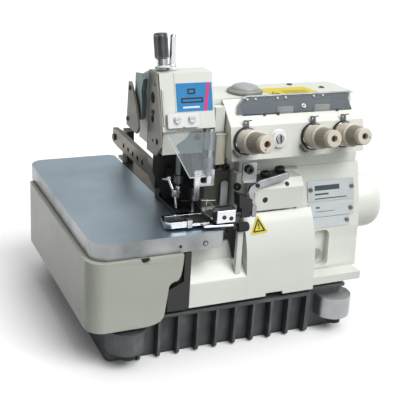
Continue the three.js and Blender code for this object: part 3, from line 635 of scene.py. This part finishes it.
# ---- oil dome and the arm's deck ------------------------------------------------------------------
dome = upright(190.5, 82, 138.3)
flange = Piece("oil_dome_flange")
flange.turned([(13.8, 0), (19.0, 0, 1), (19.2, 0.6, 1), (19.2, 1.8, 1), (18.2, 3.0, 1), (16.2, 3.6),
               (15.4, 4.6), (13.8, 4.6), (13.8, 0)], dome, 240, ribs=60, depth=1.1)
flange.done("ribbed_grey", ROOT, 0)
glass = Piece("oil_dome_glass")
glass.turned([(0, 0), (13.7, 0), (13.7, 4.7), (14.6, 4.9), (14.0, 6.2), (12.4, 7.5), (9.4, 8.6), (5.4, 9.3),
              (0, 9.5)], dome, 64)
glass.done("dome_glass", ROOT, 0, replaces=("oil_dome",))
label = Piece("deck_label")
label.prism([(216.5, 64.5), (274, 64.5), (268, 93), (209, 93)], ALONG_Z, 138.02, 138.3)
label.done("yellow_label", ROOT, 0.05)
marks = Piece("deck_label_marks")
for y in (69, 73.5, 78):
    marks.box(232, 262, y, y + 0.9, 138.28, 138.42)
marks.prism([(216, 68), (226, 68), (221, 77)], ALONG_Z, 138.28, 138.42,
            holes=[[(218, 69.2), (224, 69.2), (221, 74.6)]])
marks.done("label_ink", ROOT, 0)
deck_screws = Piece("deck_screws")
for x, y in ((150, 108), (258, 106), (288, 87)):
    deck_screws.turned([(0, 137.9), (3.2, 137.9), (3.2, 138.5), (2.6, 139), (1.4, 139), (1.4, 138.2),
                        (0, 138.2)], upright(x, y, 0), 24)
deck_screws.done("dark_steel", ROOT, 0)

# ---- needle head ----------------------------------------------------------------------------------
BADGE_FOOT, BADGE_TOP = head_v(131.2), head_v(158)
badge = Piece("head_label")
badge.prism(box_outline(98.6, BADGE_FOOT, 137.2, BADGE_TOP), HEAD_FACE, 0.02, 0.3)
badge.done("blue_label", ROOT, 0.05)
stripe = Piece("head_label_stripe")
stripe.prism([(127.4, BADGE_FOOT), (130.6, BADGE_FOOT), (135.4, BADGE_TOP), (132.4, BADGE_TOP)], HEAD_FACE,
             0.28, 0.42)
stripe.done("pink_label", ROOT, 0)
bars = Piece("head_label_bars")
for z, high, u0, u1 in ((147.4, 5.6, 110.5, 119), (139.2, 5.2, 103.4, 127)):
    bars.prism(box_outline(u0, head_v(z), u1, head_v(z) + high, 0.8), HEAD_FACE, 0.28, 0.4,
               holes=[box_outline(u0 + 1.6, head_v(z) + 1.5, u1 - 1.6, head_v(z) + high - 1.5, 0.3)])
bars.done("label_ink", ROOT, 0)
foot_bar = Piece("head_label_foot_bar")
foot_bar.prism(box_outline(105, head_v(134.2), 123, head_v(134.2) + 1.8, 0.3), HEAD_FACE, 0.28, 0.4)
foot_bar.done("white_plastic", ROOT, 0)

clamp = Piece("clamp_plate")
clamp.prism(rounded([(86.4, head_v(116)), (101.6, head_v(116)), (103, head_v(117.6)), (104.4, head_v(116)),
                     (119.8, head_v(116)), (119.8, head_v(129.6)), (86.4, head_v(129.6))], 1.2), HEAD_FACE,
                     0.3, 4.6)
clamp.done("white_plastic", ROOT, 0.5, replaces=("head_clamp_plate",), segments=3)
clamp_screws = Piece("clamp_screws")
HEAD_OUT = HEAD_FACE.to_3x3().col[2]
for u in (96.4, 111.8):
    at = HEAD_FACE @ Vector((u, head_v(123.6), 4.6))
    clamp_screws.turned([(0, 0), (4.3, 0), (4.3, 0.4), (3.9, 0.6), (0, 0.6)], aimed(at, HEAD_OUT), 32)
    clamp_screws.dome_screw(HEAD_FACE @ Vector((u, head_v(123.6), 5.3)), HEAD_OUT, 3.3, 1.8, 0.25)
clamp_screws.done("sign_metal", ROOT, 0.15)
head_bits = Piece("head_black_screws")
head_bits.cap_screw((121, 44, 104.4), FRONTWARD, 3.0, 2.4)
head_bits.cap_screw((79.4, 62, 128), (-1, 0, 0), 2.4, 1.0)
head_bits.cap_screw((71, 108, 142), (-1, 0, 0), 2.4, 1.2)
head_bits.cap_screw((71, 113, 108), (-1, 0, 0), 2.4, 1.2)
head_bits.cap_screw((74, 90, 118), (-1, 0, 0), 3.2, 2.4)
head_bits.done("black_steel", ROOT, 0)
# Dark discs just behind the side plate's holes: painted shade.
hollows = Piece("side_plate_hole_shades")
for y, z, radius in ((64, 142, 6.6), (63, 121, 5.0), (60, 99, 2.2), (49, 101, 3.9), (60, 156, 2.5)):
    hollows.prism(disc(y, z, radius, 24), ALONG_X, 81.74, 81.96)
hollows.done("needle_shade", ROOT, 0)
rear_plate = Piece("rear_plate_curved")
rear_plate.prism(rounded([(113, 148), (108, 149), (99, 140, 20), (90, 129, 20), (84, 117, 12), (80, 106),
                          (86, 99),
                          (117, 101)], 2, 6), ALONG_X, 71, 73.5,
                          holes=[disc(109, 142, 2.2, 16), disc(113, 108, 2.2, 16)])
rear_plate.done("khaki_steel", ROOT, 0.3, replaces=("rear_side_plate",))
slot_strip = Piece("head_edge_strip")
slot_strip.prism(box_outline(83.0, head_v(119), 84.6, head_v(153), 0.5), HEAD_FACE, 0.05, 1.6)
slot_strip.done("chrome", ROOT, 0.2)

guard_strip = Piece("spring_guard_bent")
guard_strip.prism(rounded([(77.5, 158), (84, 162.5), (100.5, 160), (101, 140), (97, 122), (88, 112),
                           (80, 118), (79, 132), (82, 146)], 2.5, 5), ALONG_X, 74.0, 75.2)
guard_strip.prism(rounded([(77.5, 158), (84, 162.5), (86.5, 160.5), (84.4, 146), (81.6, 130), (83.5, 119),
                           (88, 112), (80, 118), (79, 132), (80.5, 146)], 1.5, 5), ALONG_X, 75.1, 79.0)
guard_strip.done("guard_teal", ROOT, 0.3, replaces=("spring_guard",))

CAP = axes((90, 67, 170.2), (1, 0, 0), (0, math.cos(HEAD_LEAN), -math.sin(HEAD_LEAN)),
           (0, math.sin(HEAD_LEAN), math.cos(HEAD_LEAN)))
cap = Piece("pressure_thumb_cap")
cap.turned([(2.8, 10), (6.0, 10), (6.9, 10.6), (7.1, 11.4, 1), (7.1, 30.8, 1), (6.8, 31.6, 1), (7.0, 32.2),
            (7.0, 33.6), (6.2, 34.6), (5.4, 34.8), (4.8, 34.3), (0, 34.3), (0, 27), (2.8, 27), (2.8, 10)],
           CAP, 192, ribs=48, depth=0.28)
cap.done("brushed_dark", "pressure_cap", 0, replaces=("pressure_cap",))
neck = Piece("pressure_neck")
neck.turned([(0, 0), (6.4, 0), (6.4, 2.0), (5.9, 2.6), (5.9, 9.0), (5.4, 9.6), (2.5, 9.6), (2.5, 26),
             (0, 26)],
            CAP, 48)
neck.done("chrome", ROOT, 0, replaces=("pressure_screw",))
post_at = upright(102, 72, 168.1)
post = Piece("thread_post_turned")
post.turned([(0, 3.0), (3.9, 3.0), (3.9, 4.4), (3.5, 5.0), (2.9, 30), (3.1, 31), (3.1, 33.4), (2.4, 34.6),
             (0, 34.6)],
            post_at, 40)
post.done("chrome", ROOT, 0, replaces=("thread_post",))
ring = Piece("head_top_rings")
ring.turned([(0, 0), (5.6, 0), (5.8, 0.8), (5.8, 2.2), (5.2, 2.9), (0, 2.9)], post_at, 40)
ring.turned([(6.5, 0.2), (7.6, 0.4), (7.8, 1.2), (7.6, 2.2), (6.5, 2.5), (6.5, 0.2)], CAP, 40)
ring.done("white_plastic", ROOT, 0)

# ---- smooth skins on the pan's right ears -----------------------------------------------------------
# The skins take the lighter ear alloy, painted light on the ears.
for name, y in EAR_Y.items():
    skin = Piece(f"ear_skin_{name}")
    skin.turned([(19.2, -101.9), (19.9, -101.9), (20.25, -101.2), (20.25, -81.4), (19.6, -79.2),
                 (17.8, -77.9), (0, -77.6),
                 (0, -78.2), (17.6, -78.4), (19.0, -79.6), (19.2, -81.4), (19.2, -101.9)],
                upright(EAR_X, y, 0), 96)
    skin.done("ear_painted_light", ROOT, 0)

# ---- handwheel ------------------------------------------------------------------------------------
wheel = Piece("handwheel_smooth")
wheel.turned([(8.3, 0), (31, 0), (32.4, 0.6), (33, 2), (33, 34), (32.8, 38.6), (32.0, 42.6), (30.3, 46.0),
              (27.6, 48.3), (24, 49.4), (18, 49.7), (0, 49.7), (0, 44.7), (8.3, 44.7), (8.3, 0)],
             aimed((327.3, 95, -5), (1, 0, 0)), 96)
wheel.done("cream_paint", "main_shaft", 0, replaces=("handwheel",))

# ---- nameplates, screws and labels on the front ---------------------------------------------------
UPPER_WALL = leaning(0, 43, 19, math.atan2(11, 41))
LOWER_WALL = leaning(0, 38, -12, math.atan2(5, 31))
for name, node, wall, x0, x1, v0, v1, rows, rivets in (
        ("nameplate_printed", "nameplate", UPPER_WALL, 258.5, 318.5, 1, 24.2,
         ((0.52, 0.76, 0.76), (0.30, 0.38, 0.42), (0.10, 0.15, 0.98)), ((262.2, 14.4), (315.6, 14.6))),
        ("data_plate_printed", "data_plate", LOWER_WALL, 259.5, 318.5, 14.8, 30.4,
         ((0.62, 0.74, 0.12), (0.36, 0.40, 0.6)), ((314, 21.6), (309.5, 8.1)))):
    sign = Piece(name)
    sign.prism(box_outline(x0, v0, x1, v1, 1), wall, 0.3, 0.9)
    if node == "data_plate":
        sign.prism(box_outline(265, 2, 313, 14.2, 1), wall, 0.3, 0.9)
    sign.done("sign_metal", ROOT, 0.12, replaces=(node,))
    bars = Piece(name + "_lines")
    for a, b, share in rows:
        u0 = x0 + 9
        bars.prism(box_outline(u0, v0 + a * (v1 - v0), u0 + share * (x1 - x0 - 18), v0 + b * (v1 - v0), 0.2),
                   wall, 0.88, 0.98)
    bars.done("sign_ink", ROOT, 0)
    pins = Piece(name + "_rivets")
    for u, v in rivets:
        pins.dome_screw(wall @ Vector((u, v, 0.9)), wall.to_3x3().col[2], 2.4, 1.5, 0.4)
    pins.done("rivet_bronze", ROOT, 0.15)

warning = Piece("warning_triangle")
COVER_FACE = leaning(0, 13.7, -2, math.atan2(8, 16))
warning.prism(rounded([(175.4, 4.6), (196.6, 5.6), (186.6, 25.4)], 1.6), COVER_FACE, 0.05, 0.35)
warning.done("yellow_label", "front_cover", 0.08)
border = Piece("warning_triangle_border")
border.prism(rounded([(178.4, 6.6), (193.8, 7.4), (186.5, 22.0)], 1.0), COVER_FACE, 0.33, 0.5,
             holes=[rounded([(181.0, 8.2), (191.0, 8.8), (186.3, 18.6)], 0.6)])
border.prism(rounded([(185.3, 12.6), (187.3, 12.6), (186.8, 16.6), (185.8, 16.6)], 0.3), COVER_FACE, 0.33,
             0.5)
border.prism(disc(186.3, 10.9, 0.9, 12), COVER_FACE, 0.33, 0.5)
border.done("label_ink", "front_cover", 0)


# ---- front cover ----------------------------------------------------------------------------------
def flowing(points, steps=6):
    """A smooth run of points through the given ones (Catmull-Rom)."""
    ends = [points[0], *points, points[-1]]
    made = []
    for a, b, c, d in zip(ends, ends[1:], ends[2:], ends[3:]):
        for k in range(steps):
            t = k / steps
            made.append(tuple(0.5 * (2 * q + (r - p) * t + (2 * p - 5 * q + 4 * r - s) * t * t
                                     + (3 * q - p - 3 * r + s) * t ** 3) for p, q, r, s in zip(a, b, c, d)))
    return [*made, points[-1]]


face = flowing([(5.2, -66.8), (6.1, -51), (7.4, -35), (9.4, -18), (14.2, -2), (20.6, 12), (27.2, 21.8)])
lining = flowing([(8.2, -66.8), (9.1, -51), (10.4, -35), (12.3, -18.8), (17.0, -3.5), (23.2, 10.2),
                  (29.8, 20.0)])
lining.reverse()
shell = Piece("front_cover_shell")
low_face, low_lining = [p for p in face if p[1] < -41.5], [p for p in lining if p[1] < -43]
shell.prism([*low_face, (6.9, -41), (7.5, -40), (25, -25), (25, -5), (28, -5), (28, -28), (24.2, -28),
             *low_lining], ALONG_X, 102.8, 170.3)
for x0, x1, foot in ((170.2, 194, -67), (194, 214.5, -63.4), (214.5, 252.6, -67)):
    above = [p for p in face if p[1] > foot], [p for p in lining if p[1] > foot]
    base = [(5.4, foot), (8.4, foot)] if foot > -65 else []
    shell.prism([*base[:1], *above[0], *above[1], *base[1:]], ALONG_X, x0, x1)
shell.done("cream_paint", "front_cover", 0, replaces=("front_cover",))
frame_part = Piece("front_cover_frame")
for x in (170.5, 249.5):
    frame_part.prism([*((y + 0.4, z) for y, z in face), (30, 19.5), (33, -58), (14, -58), (12, -66.8)],
                     ALONG_X, x, x + 3)
frame_part.prism([(5.6, -67), (7.4, -42), (25.2, -25.6), (28, -25.6), (28, -58), (14, -58), (12, -67)],
                 ALONG_X, 103, 106)
frame_part.box(157.6, 164, 9.6, 15, -38, 10.5, 0.8)
frame_part.done("cream_paint", "front_cover", 0.8, segments=3)
post_seal = Piece("front_cover_post_seal")
post_seal.prism([(150.4, 10), (162, 10), (164.8, -24.6), (160.1, -24.6)], ALONG_Y, 22, 24.8)
post_seal.done("black_rubber", "front_cover", 0.3)

# ---- eye guard, its bracket and the thread lubricator ---------------------------------------------
guard = Piece("guard_pane")
guard.prism(rounded([(84, 112), (111, 64.8), (129, 64.8), (129, 112)], 1.5), ALONG_Y, 34.2, 35.4)
guard.prism(rounded([(129, 34.2), (131, 34.2), (137.6, 37.0), (137.6, 38.6), (130.6, 35.6), (129, 35.4)],
                    0.3),
            ALONG_Z, 64.8, 112)
for z0, z1 in ((66, 84), (92, 111)):
    guard.turned([(2.4, z0), (4.6, z0), (4.6, z1), (2.4, z1), (2.4, z0)], upright(134, 38, 0), 28)
guard.done("clear_plastic", "eye_guard", 0.2, replaces=("eye_guard",))
# A pale strip on the pane's cut edge: a painted highlight.
edge = Piece("guard_bright_edge")
edge.strip([(84.2, 111.6), (111.2, 64.9), (128.6, 64.9)], 0.7, ALONG_Y, 33.9, 35.6)
edge.done("painted_edge_highlight", "eye_guard", 0)
bracket = Piece("guard_bracket")
bracket.prism(box_outline(120.6, 50.5, 143.2, 68.6, 1.6), ALONG_Y, 44, 46.4,
              holes=[box_outline(127.4, 54.2, 138.4, 61.6, 3.6)])
bracket.prism(box_outline(120.6, 36, 126.4, 64, 1.0), ALONG_Y, 42.6, 43.9)
bracket.box(131.2, 136.8, 36, 46, 56, 64.2, 1.2)
bracket.box(138, 143.6, 46, 63.6, 52, 58, 0.8)
bracket.rod((134, 38, 58), (134, 38, 113.5), 2.0, 24)
bracket.done("satin_chrome", ROOT, 0.4, replaces=("eye_guard_bracket",))
tank = Piece("lubricator_tank")
tank.prism(box_outline(144.2, 46.2, 154.8, 61.6, 1.2), ALONG_Z, 72.2, 104.6)
tank.done("tank_plastic", ROOT, 0.3, replaces=("thread_lubricator",))
holder = Piece("lubricator_holder")
holder.prism(rounded([(141.2, 42.6), (149.5, 42.6), (149.5, 44.0), (142.4, 44.0), (142.4, 60), (141.2, 60)],
                     0.4),
             ALONG_Z, 74, 108)
holder.box(141.2, 156, 42.4, 46, 105.2, 106.6, 0.5)
holder.done("clear_plastic", ROOT, 0.2)

# ---- fabric guide, its arm and its fittings -------------------------------------------------------
arm = Piece("guide_arm_bent")
arm.prism(rounded([(164.2, 60.4), (180.8, 60.0), (180.2, 79.2), (164.2, 79.4)], 1.2), ALONG_Y, 22.0, 24.4)
arm.prism(rounded([(164.8, 58.6, 1), (181, 57.6, 1), (181, 60.4, 1), (164.8, 60.8, 1)], 1), ALONG_Y, 21.6,
          24.7)
arm.prism(rounded([(171.8, 47.6, 3), (174.4, 54.2, 4), (184, 59.4, 8), (218.6, 66.2, 1.5), (219.4, 58.8, 2),
                   (184, 51.2, 6), (178.6, 45.6, 4), (180.6, 39, 4), (183.6, 26.4, 1), (178.8, 26.4, 1),
                   (175.6, 38.6, 4)], 2, 6), ALONG_Y, 21.4, 24.7)
arm.prism(rounded([(171.7, 25.2), (176.8, 25.2), (176.8, 37), (171.7, 39.8)], 1.5), ALONG_Y, 9.0, 22.0)
arm.done("brushed_chrome", ROOT, 0.5, replaces=("guide_arm",), segments=3)
shelf = Piece("guide_arm_shelf")
shelf.prism(rounded([(180.4, 57.6), (217.8, 65.4), (217.8, 63.8), (180.4, 56.0)], 0.5), ALONG_Y, 24.7, 41)
shelf.prism(rounded([(183, 50.6), (216, 57.4), (216, 60), (183, 54)], 0.8), ALONG_Y, 24.7, 25.6)
shelf.done("guard_teal", ROOT, 0.3)
pivot = Piece("guide_pivot_black")
pivot.prism(rounded([(156.8, 37.6), (155.2, 51.8), (170.8, 45.2), (170.8, 30.8)], 1.2), ALONG_Y, 8.2, 21.6)
pivot.prism(rounded([(160, 25.4), (170.6, 25.4), (170.6, 31.4), (160, 36.4)], 1.0), ALONG_Y, 10, 21.6)
pivot.rod((128, 9, 31), (158, 9, 31), 2.5, 24)
pivot.done("black_steel", ROOT, 0.6, replaces=("guide_pivot_block",), segments=3)
fittings = Piece("guide_screws")
fittings.cap_screw((171.2, 22.0, 73.0), FRONTWARD, 4.6, 3.0)
for x, z in ((197.0, 61.8), (214.0, 65.4)):
    fittings.cap_screw((x, 34, z), (-0.2, 0, 1), 5.4, 2.6)
fittings.cap_screw((182.4, 24.6, 54.6), FRONTWARD, 2.2, 4.6)
# Two flat dark discs on the arm's bulge: painted shade in its holes and recess.
fittings.rod((194.6, 25.2, 36.2), (194.6, 24.8, 36.2), 3.1, 24, 0.1)
fittings.rod((220.4, 27.4, 51.0), (220.4, 26.8, 51.4), 2.5, 24, 0.1)
fittings.done("needle_shade", ROOT, 0)

carriage = Piece("guide_carriage")
carriage.prism(rounded([(2.4, 25.2), (14.6, 25.2), (14.6, 39.6), (9, 40), (2.4, 38.4)], 1.0), ALONG_X, 129.4,
               149.8, holes=[disc(9, 31, 2.85, 24)])
carriage.prism(rounded([(116.5, 6.5), (149, 2.4), (149, 36), (129, 40), (122, 30)], 1.5), ALONG_Z, 20.6, 23.0)
carriage.prism(rounded([(128, 14.5), (146, 14.5), (152, 20), (152, 33), (136, 38), (128, 33)], 2), ALONG_Z,
               25.2, 27.2)
carriage.done("chrome", "fabric_guide", 0.5, replaces=("fabric_guide",), segments=3)
sockets = Piece("guide_carriage_screws")
for x, z in ((137.2, 31.4), (145.0, 29.6)):
    sockets.turned([(0, 0.05), (2.0, 0.05), (2.2, 0.35), (1.5, 0.5), (0.9, 0.2), (0, 0.2)],
                   aimed((x, 2.4, z), FRONTWARD), 24)
sockets.cap_screw((140.5, 22, 27.2), (0, 0, 1), 3.2, 2.6)
sockets.done("black_steel", "fabric_guide", 0)
rails = Piece("guide_rails")
rails.prism(rounded([(78, 17, 3), (84.6, 12.6, 3), (126, 11.6), (126, 14.2), (85.6, 15.2, 2), (81.4, 18.2, 2),
                     (85.8, 38.0, 2), (130, 37.0), (130, 39.8), (83.6, 41.2, 3)], 1), ALONG_Z, 21.6, 24.0)
rails.prism(rounded([(78, 17, 3), (84.6, 12.6, 3), (104, 12.2), (104, 13.6), (85.2, 14.0, 2), (79.6, 18, 2),
                     (79.8, 19.4), (78.6, 19.4)], 0.6), ALONG_Z, 21.0, 27.4)
rails.box(101, 106.4, 10.8, 16.4, 20.6, 28.6, 0.8)
for x in (102.4, 103.7, 105.0):
    rails.box(x - 0.25, x + 0.25, 10.4, 16.8, 21, 29.0)
rails.done("chrome", "fabric_guide", 0.3)
# Dark sheets under the guide and between its rails: painted shade and painted dark reflection.
dark_sheet = Piece("guide_dark_shade_sheet")
dark_sheet.prism(rounded([(106, 17), (128, 15.6), (128, 35.6), (112, 35.6), (106, 30)], 1.5), ALONG_Z, 20.9, 23.6)
dark_sheet.prism(rounded([(82.6, 18), (86, 15.6), (127, 15), (127, 36.6), (86.4, 37.4)], 1.5), ALONG_Z, 20.6, 21.1)
dark_sheet.done("needle_shade", "fabric_guide", 0.4)
knob = Piece("guide_thumb_knob")
knob.turned([(0, -5.6), (1.5, -5.6), (1.5, 0), (4.4, 0), (5.0, 0.6, 1), (5.0, 10.8, 1), (4.5, 11.6),
             (3.6, 12.2), (0, 12.4)],
            aimed((155.8, 8.5, 16.2), (1, 0, 0)), 96, ribs=24, depth=0.35)
knob.done("black_rubber", "guide_knob", 0, replaces=("guide_knob",))
tongue = Piece("guide_tongue")
tongue.prism(rounded([(157.4, 22), (165.8, 22), (165.8, 49.6, 4), (157.4, 49.6, 4)], 1, 8), ALONG_Y, 56.5, 58)
tongue.done("sign_metal", ROOT, 0.2)
wires = Piece("guide_thread_wires")
wires.rod((124, 32, 40.2), (138, 27, 40.6), 0.6, 10)
wires.rod((131, 34, 40.2), (138, 21, 31.6), 0.6, 10)
wires.rod((131, 34, 40.2), (131, 34, 24), 0.6, 10)
wires.done("chrome", "fabric_guide", 0)

# ---- dark guard and thread guides around the needle ------------------------------------------------
shade = Piece("needle_backdrop")
shade.prism(rounded([(107, 19), (138, 19), (138, 83.4), (92, 83.4), (92, 56)], 1.5), ALONG_Y, 88.6, 90)
shade.prism(box_outline(106, 44, 112, 60, 1.5), ALONG_Y, 84, 88.4)
shade.cap_screw((100, 88.4, 74), FRONTWARD, 3.2, 2.0)
shade.cap_screw((124, 88.4, 70), FRONTWARD, 4.2, 3.0)
shade.cap_screw((122, 88.4, 48), FRONTWARD, 3.4, 2.4)
shade.done("needle_shade", ROOT, 0.2)

clamp_block = Piece("needle_clamp_block")
clamp_block.turned([(0, 32.6), (1.5, 32.6), (2.2, 33.6), (2.5, 44), (2.0, 45.5), (0, 45.5)],
                   upright(112, 66, 0), 32)
clamp_block.cap_screw((112, 63.6, 40), FRONTWARD, 1.6, 2.0)
clamp_block.done("chrome", "needle_bar", 0)

knife = Piece("lower_knife_ground")
knife.prism([(50, -5.8), (61.5, -5.8), (61.5, 15.6), (60.6, 17.9), (50, 17.9)], ALONG_X, 125.8, 128.2)
knife.done("dark_steel", ROOT, 0.15, replaces=("lower_knife",))
linkage = Piece("presser_linkage")
linkage.rod((101, 92, 46), (103, 70, 52), 1.8)
linkage.rod((103, 70, 52), (106.4, 60.5, 38), 1.5)
linkage.rod((106.4, 60.5, 39), (107.4, 57.4, 24), 1.1)
linkage.box(103.6, 108.2, 58.6, 62.4, 36.4, 43.6, 0.8)
linkage.cap_screw((105.9, 58.6, 40), FRONTWARD, 1.7, 1.4)
linkage.cap_screw((102.4, 69.4, 54), FRONTWARD, 2.0, 1.6)
linkage.done("chrome", "presser", 0)
shroud = Piece("head_lower_shroud")
shroud.prism(rounded([(98.5, 97), (104, 88.4), (126.6, 88.4), (126.6, 110.5), (114, 110.5), (109, 104)], 1.5,
                     5),
             ALONG_Y, 43.3, 43.95)
shroud.done("guard_teal", ROOT, 0.15)

# ---- throat behind the needles --------------------------------------------------------------------
# Dull sheets on the throat's walls: painted shadow over the cream casting.
shadow_sheets = Piece("throat_painted_shadow")
shadow_sheets.prism(box_outline(62.5, 19, 120, 83), ALONG_X, 138.5, 139.2)
shadow_sheets.prism(box_outline(140.4, 20, 169.6, 59.4), ALONG_Y, 62.6, 63.7)
shadow_sheets.done("throat_shadow", ROOT, 0.1)
screws = Piece("throat_screws")
screws.cap_screw((150.5, 61, 67), FRONTWARD, 4.2, 6.0)
screws.cap_screw((163.6, 62, 63.5), FRONTWARD, 4.2, 3.2)
screws.cap_screw((171.0, 46, 46.2), FRONTWARD, 4.2, 2.4)
screws.done("black_steel", ROOT, 0)


# ---- floor, light and camera ----------------------------------------------------------------------
def studio():
    bm = bmesh.new()
    bmesh.ops.create_grid(bm, x_segments=8, y_segments=8, size=30)
    mesh = bpy.data.meshes.new("floor")
    bm.to_mesh(mesh)
    bm.free()
    floor = bpy.data.objects.new("floor", mesh)
    bpy.context.scene.collection.objects.link(floor)
    s = Surface("pale_floor", 0.95)
    s.color(s.ramp(s.noise(3, 2), [(0.3, srgb(253, 253, 253)), (0.8, srgb(250, 250, 251))]))
    mesh.materials.append(s.mat)
    floor.location.z = -0.0005
    floor.visible_diffuse = False

    world = bpy.data.worlds.new("studio")
    bpy.context.scene.world = world
    world.use_nodes = True
    nodes, links = world.node_tree.nodes, world.node_tree.links
    direction = nodes.new("ShaderNodeTexCoord").outputs["Generated"]
    parts = nodes.new("ShaderNodeSeparateXYZ")
    links.new(direction, parts.inputs[0])

    def ranged(axis, low, high, to_low, to_high):
        made = nodes.new("ShaderNodeMapRange")
        for key, value in (("From Min", low), ("From Max", high), ("To Min", to_low), ("To Max", to_high)):
            made.inputs[key].default_value = value
        links.new(parts.outputs[axis], made.inputs["Value"])
        return made.outputs["Result"]

    strength = nodes.new("ShaderNodeMath")
    strength.operation = "MULTIPLY"
    links.new(ranged("X", -1.0, 0.6, 0.10, 0.47), strength.inputs[0])
    links.new(ranged("Z", -1.0, 1.0, 0.55, 1.7), strength.inputs[1])
    links.new(strength.outputs[0], nodes["Background"].inputs["Strength"])
    nodes["Background"].inputs["Color"].default_value = (1, 1, 1, 1)

    def sun(name, towards, power, angle):
        light = bpy.data.lights.new(name, "SUN")
        light.energy, light.angle = power, math.radians(angle)
        lamp = bpy.data.objects.new(name, light)
        bpy.context.scene.collection.objects.link(lamp)
        lamp.rotation_euler = Vector(towards).to_track_quat("Z", "Y").to_euler()

    sun("key", (0.34, -0.74, 1.0), 2.2, 40)
    sun("top", (0.05, 0.25, 1.0), 0.65, 50)

    def card(name, where, size, power):
        light = bpy.data.lights.new(name, "AREA")
        light.shape, light.size, light.energy = "SQUARE", size, power
        lamp = bpy.data.objects.new(name, light)
        bpy.context.scene.collection.objects.link(lamp)
        lamp.location = where
        lamp.rotation_euler = (Vector(where) - Vector((0, 0, 0.15))).to_track_quat("Z", "Y").to_euler()

    card("front_card", (0.25, -1.6, 0.7), 0.8, 1.0)


def camera():
    """A long lens from the front left, a little above."""
    azimuth, elevation, roll = math.radians(-24.63), math.radians(20.62), math.radians(3.30)
    back = Vector((math.sin(azimuth) * math.cos(elevation), -math.cos(azimuth) * math.cos(elevation),
                   math.sin(elevation)))
    right = (-back).cross(Vector((0, 0, 1))).normalized()
    up = right.cross(-back)
    turned_right = math.cos(roll) * right + math.sin(roll) * up
    turned_up = -math.sin(roll) * right + math.cos(roll) * up
    data = bpy.data.cameras.new("camera")
    data.sensor_width, data.lens = 36, 76.78
    data.clip_end = 20
    eye = bpy.data.objects.new("camera", data)
    bpy.context.scene.collection.objects.link(eye)
    where = place(-217.1, -709.2, 347.7)
    eye.matrix_world = Matrix.Translation(where) @ Matrix((turned_right, turned_up,
                                                           back)).transposed().to_4x4()
    bpy.context.scene.camera = eye
    bpy.context.scene.view_settings.view_transform = "Standard"


studio()
camera()
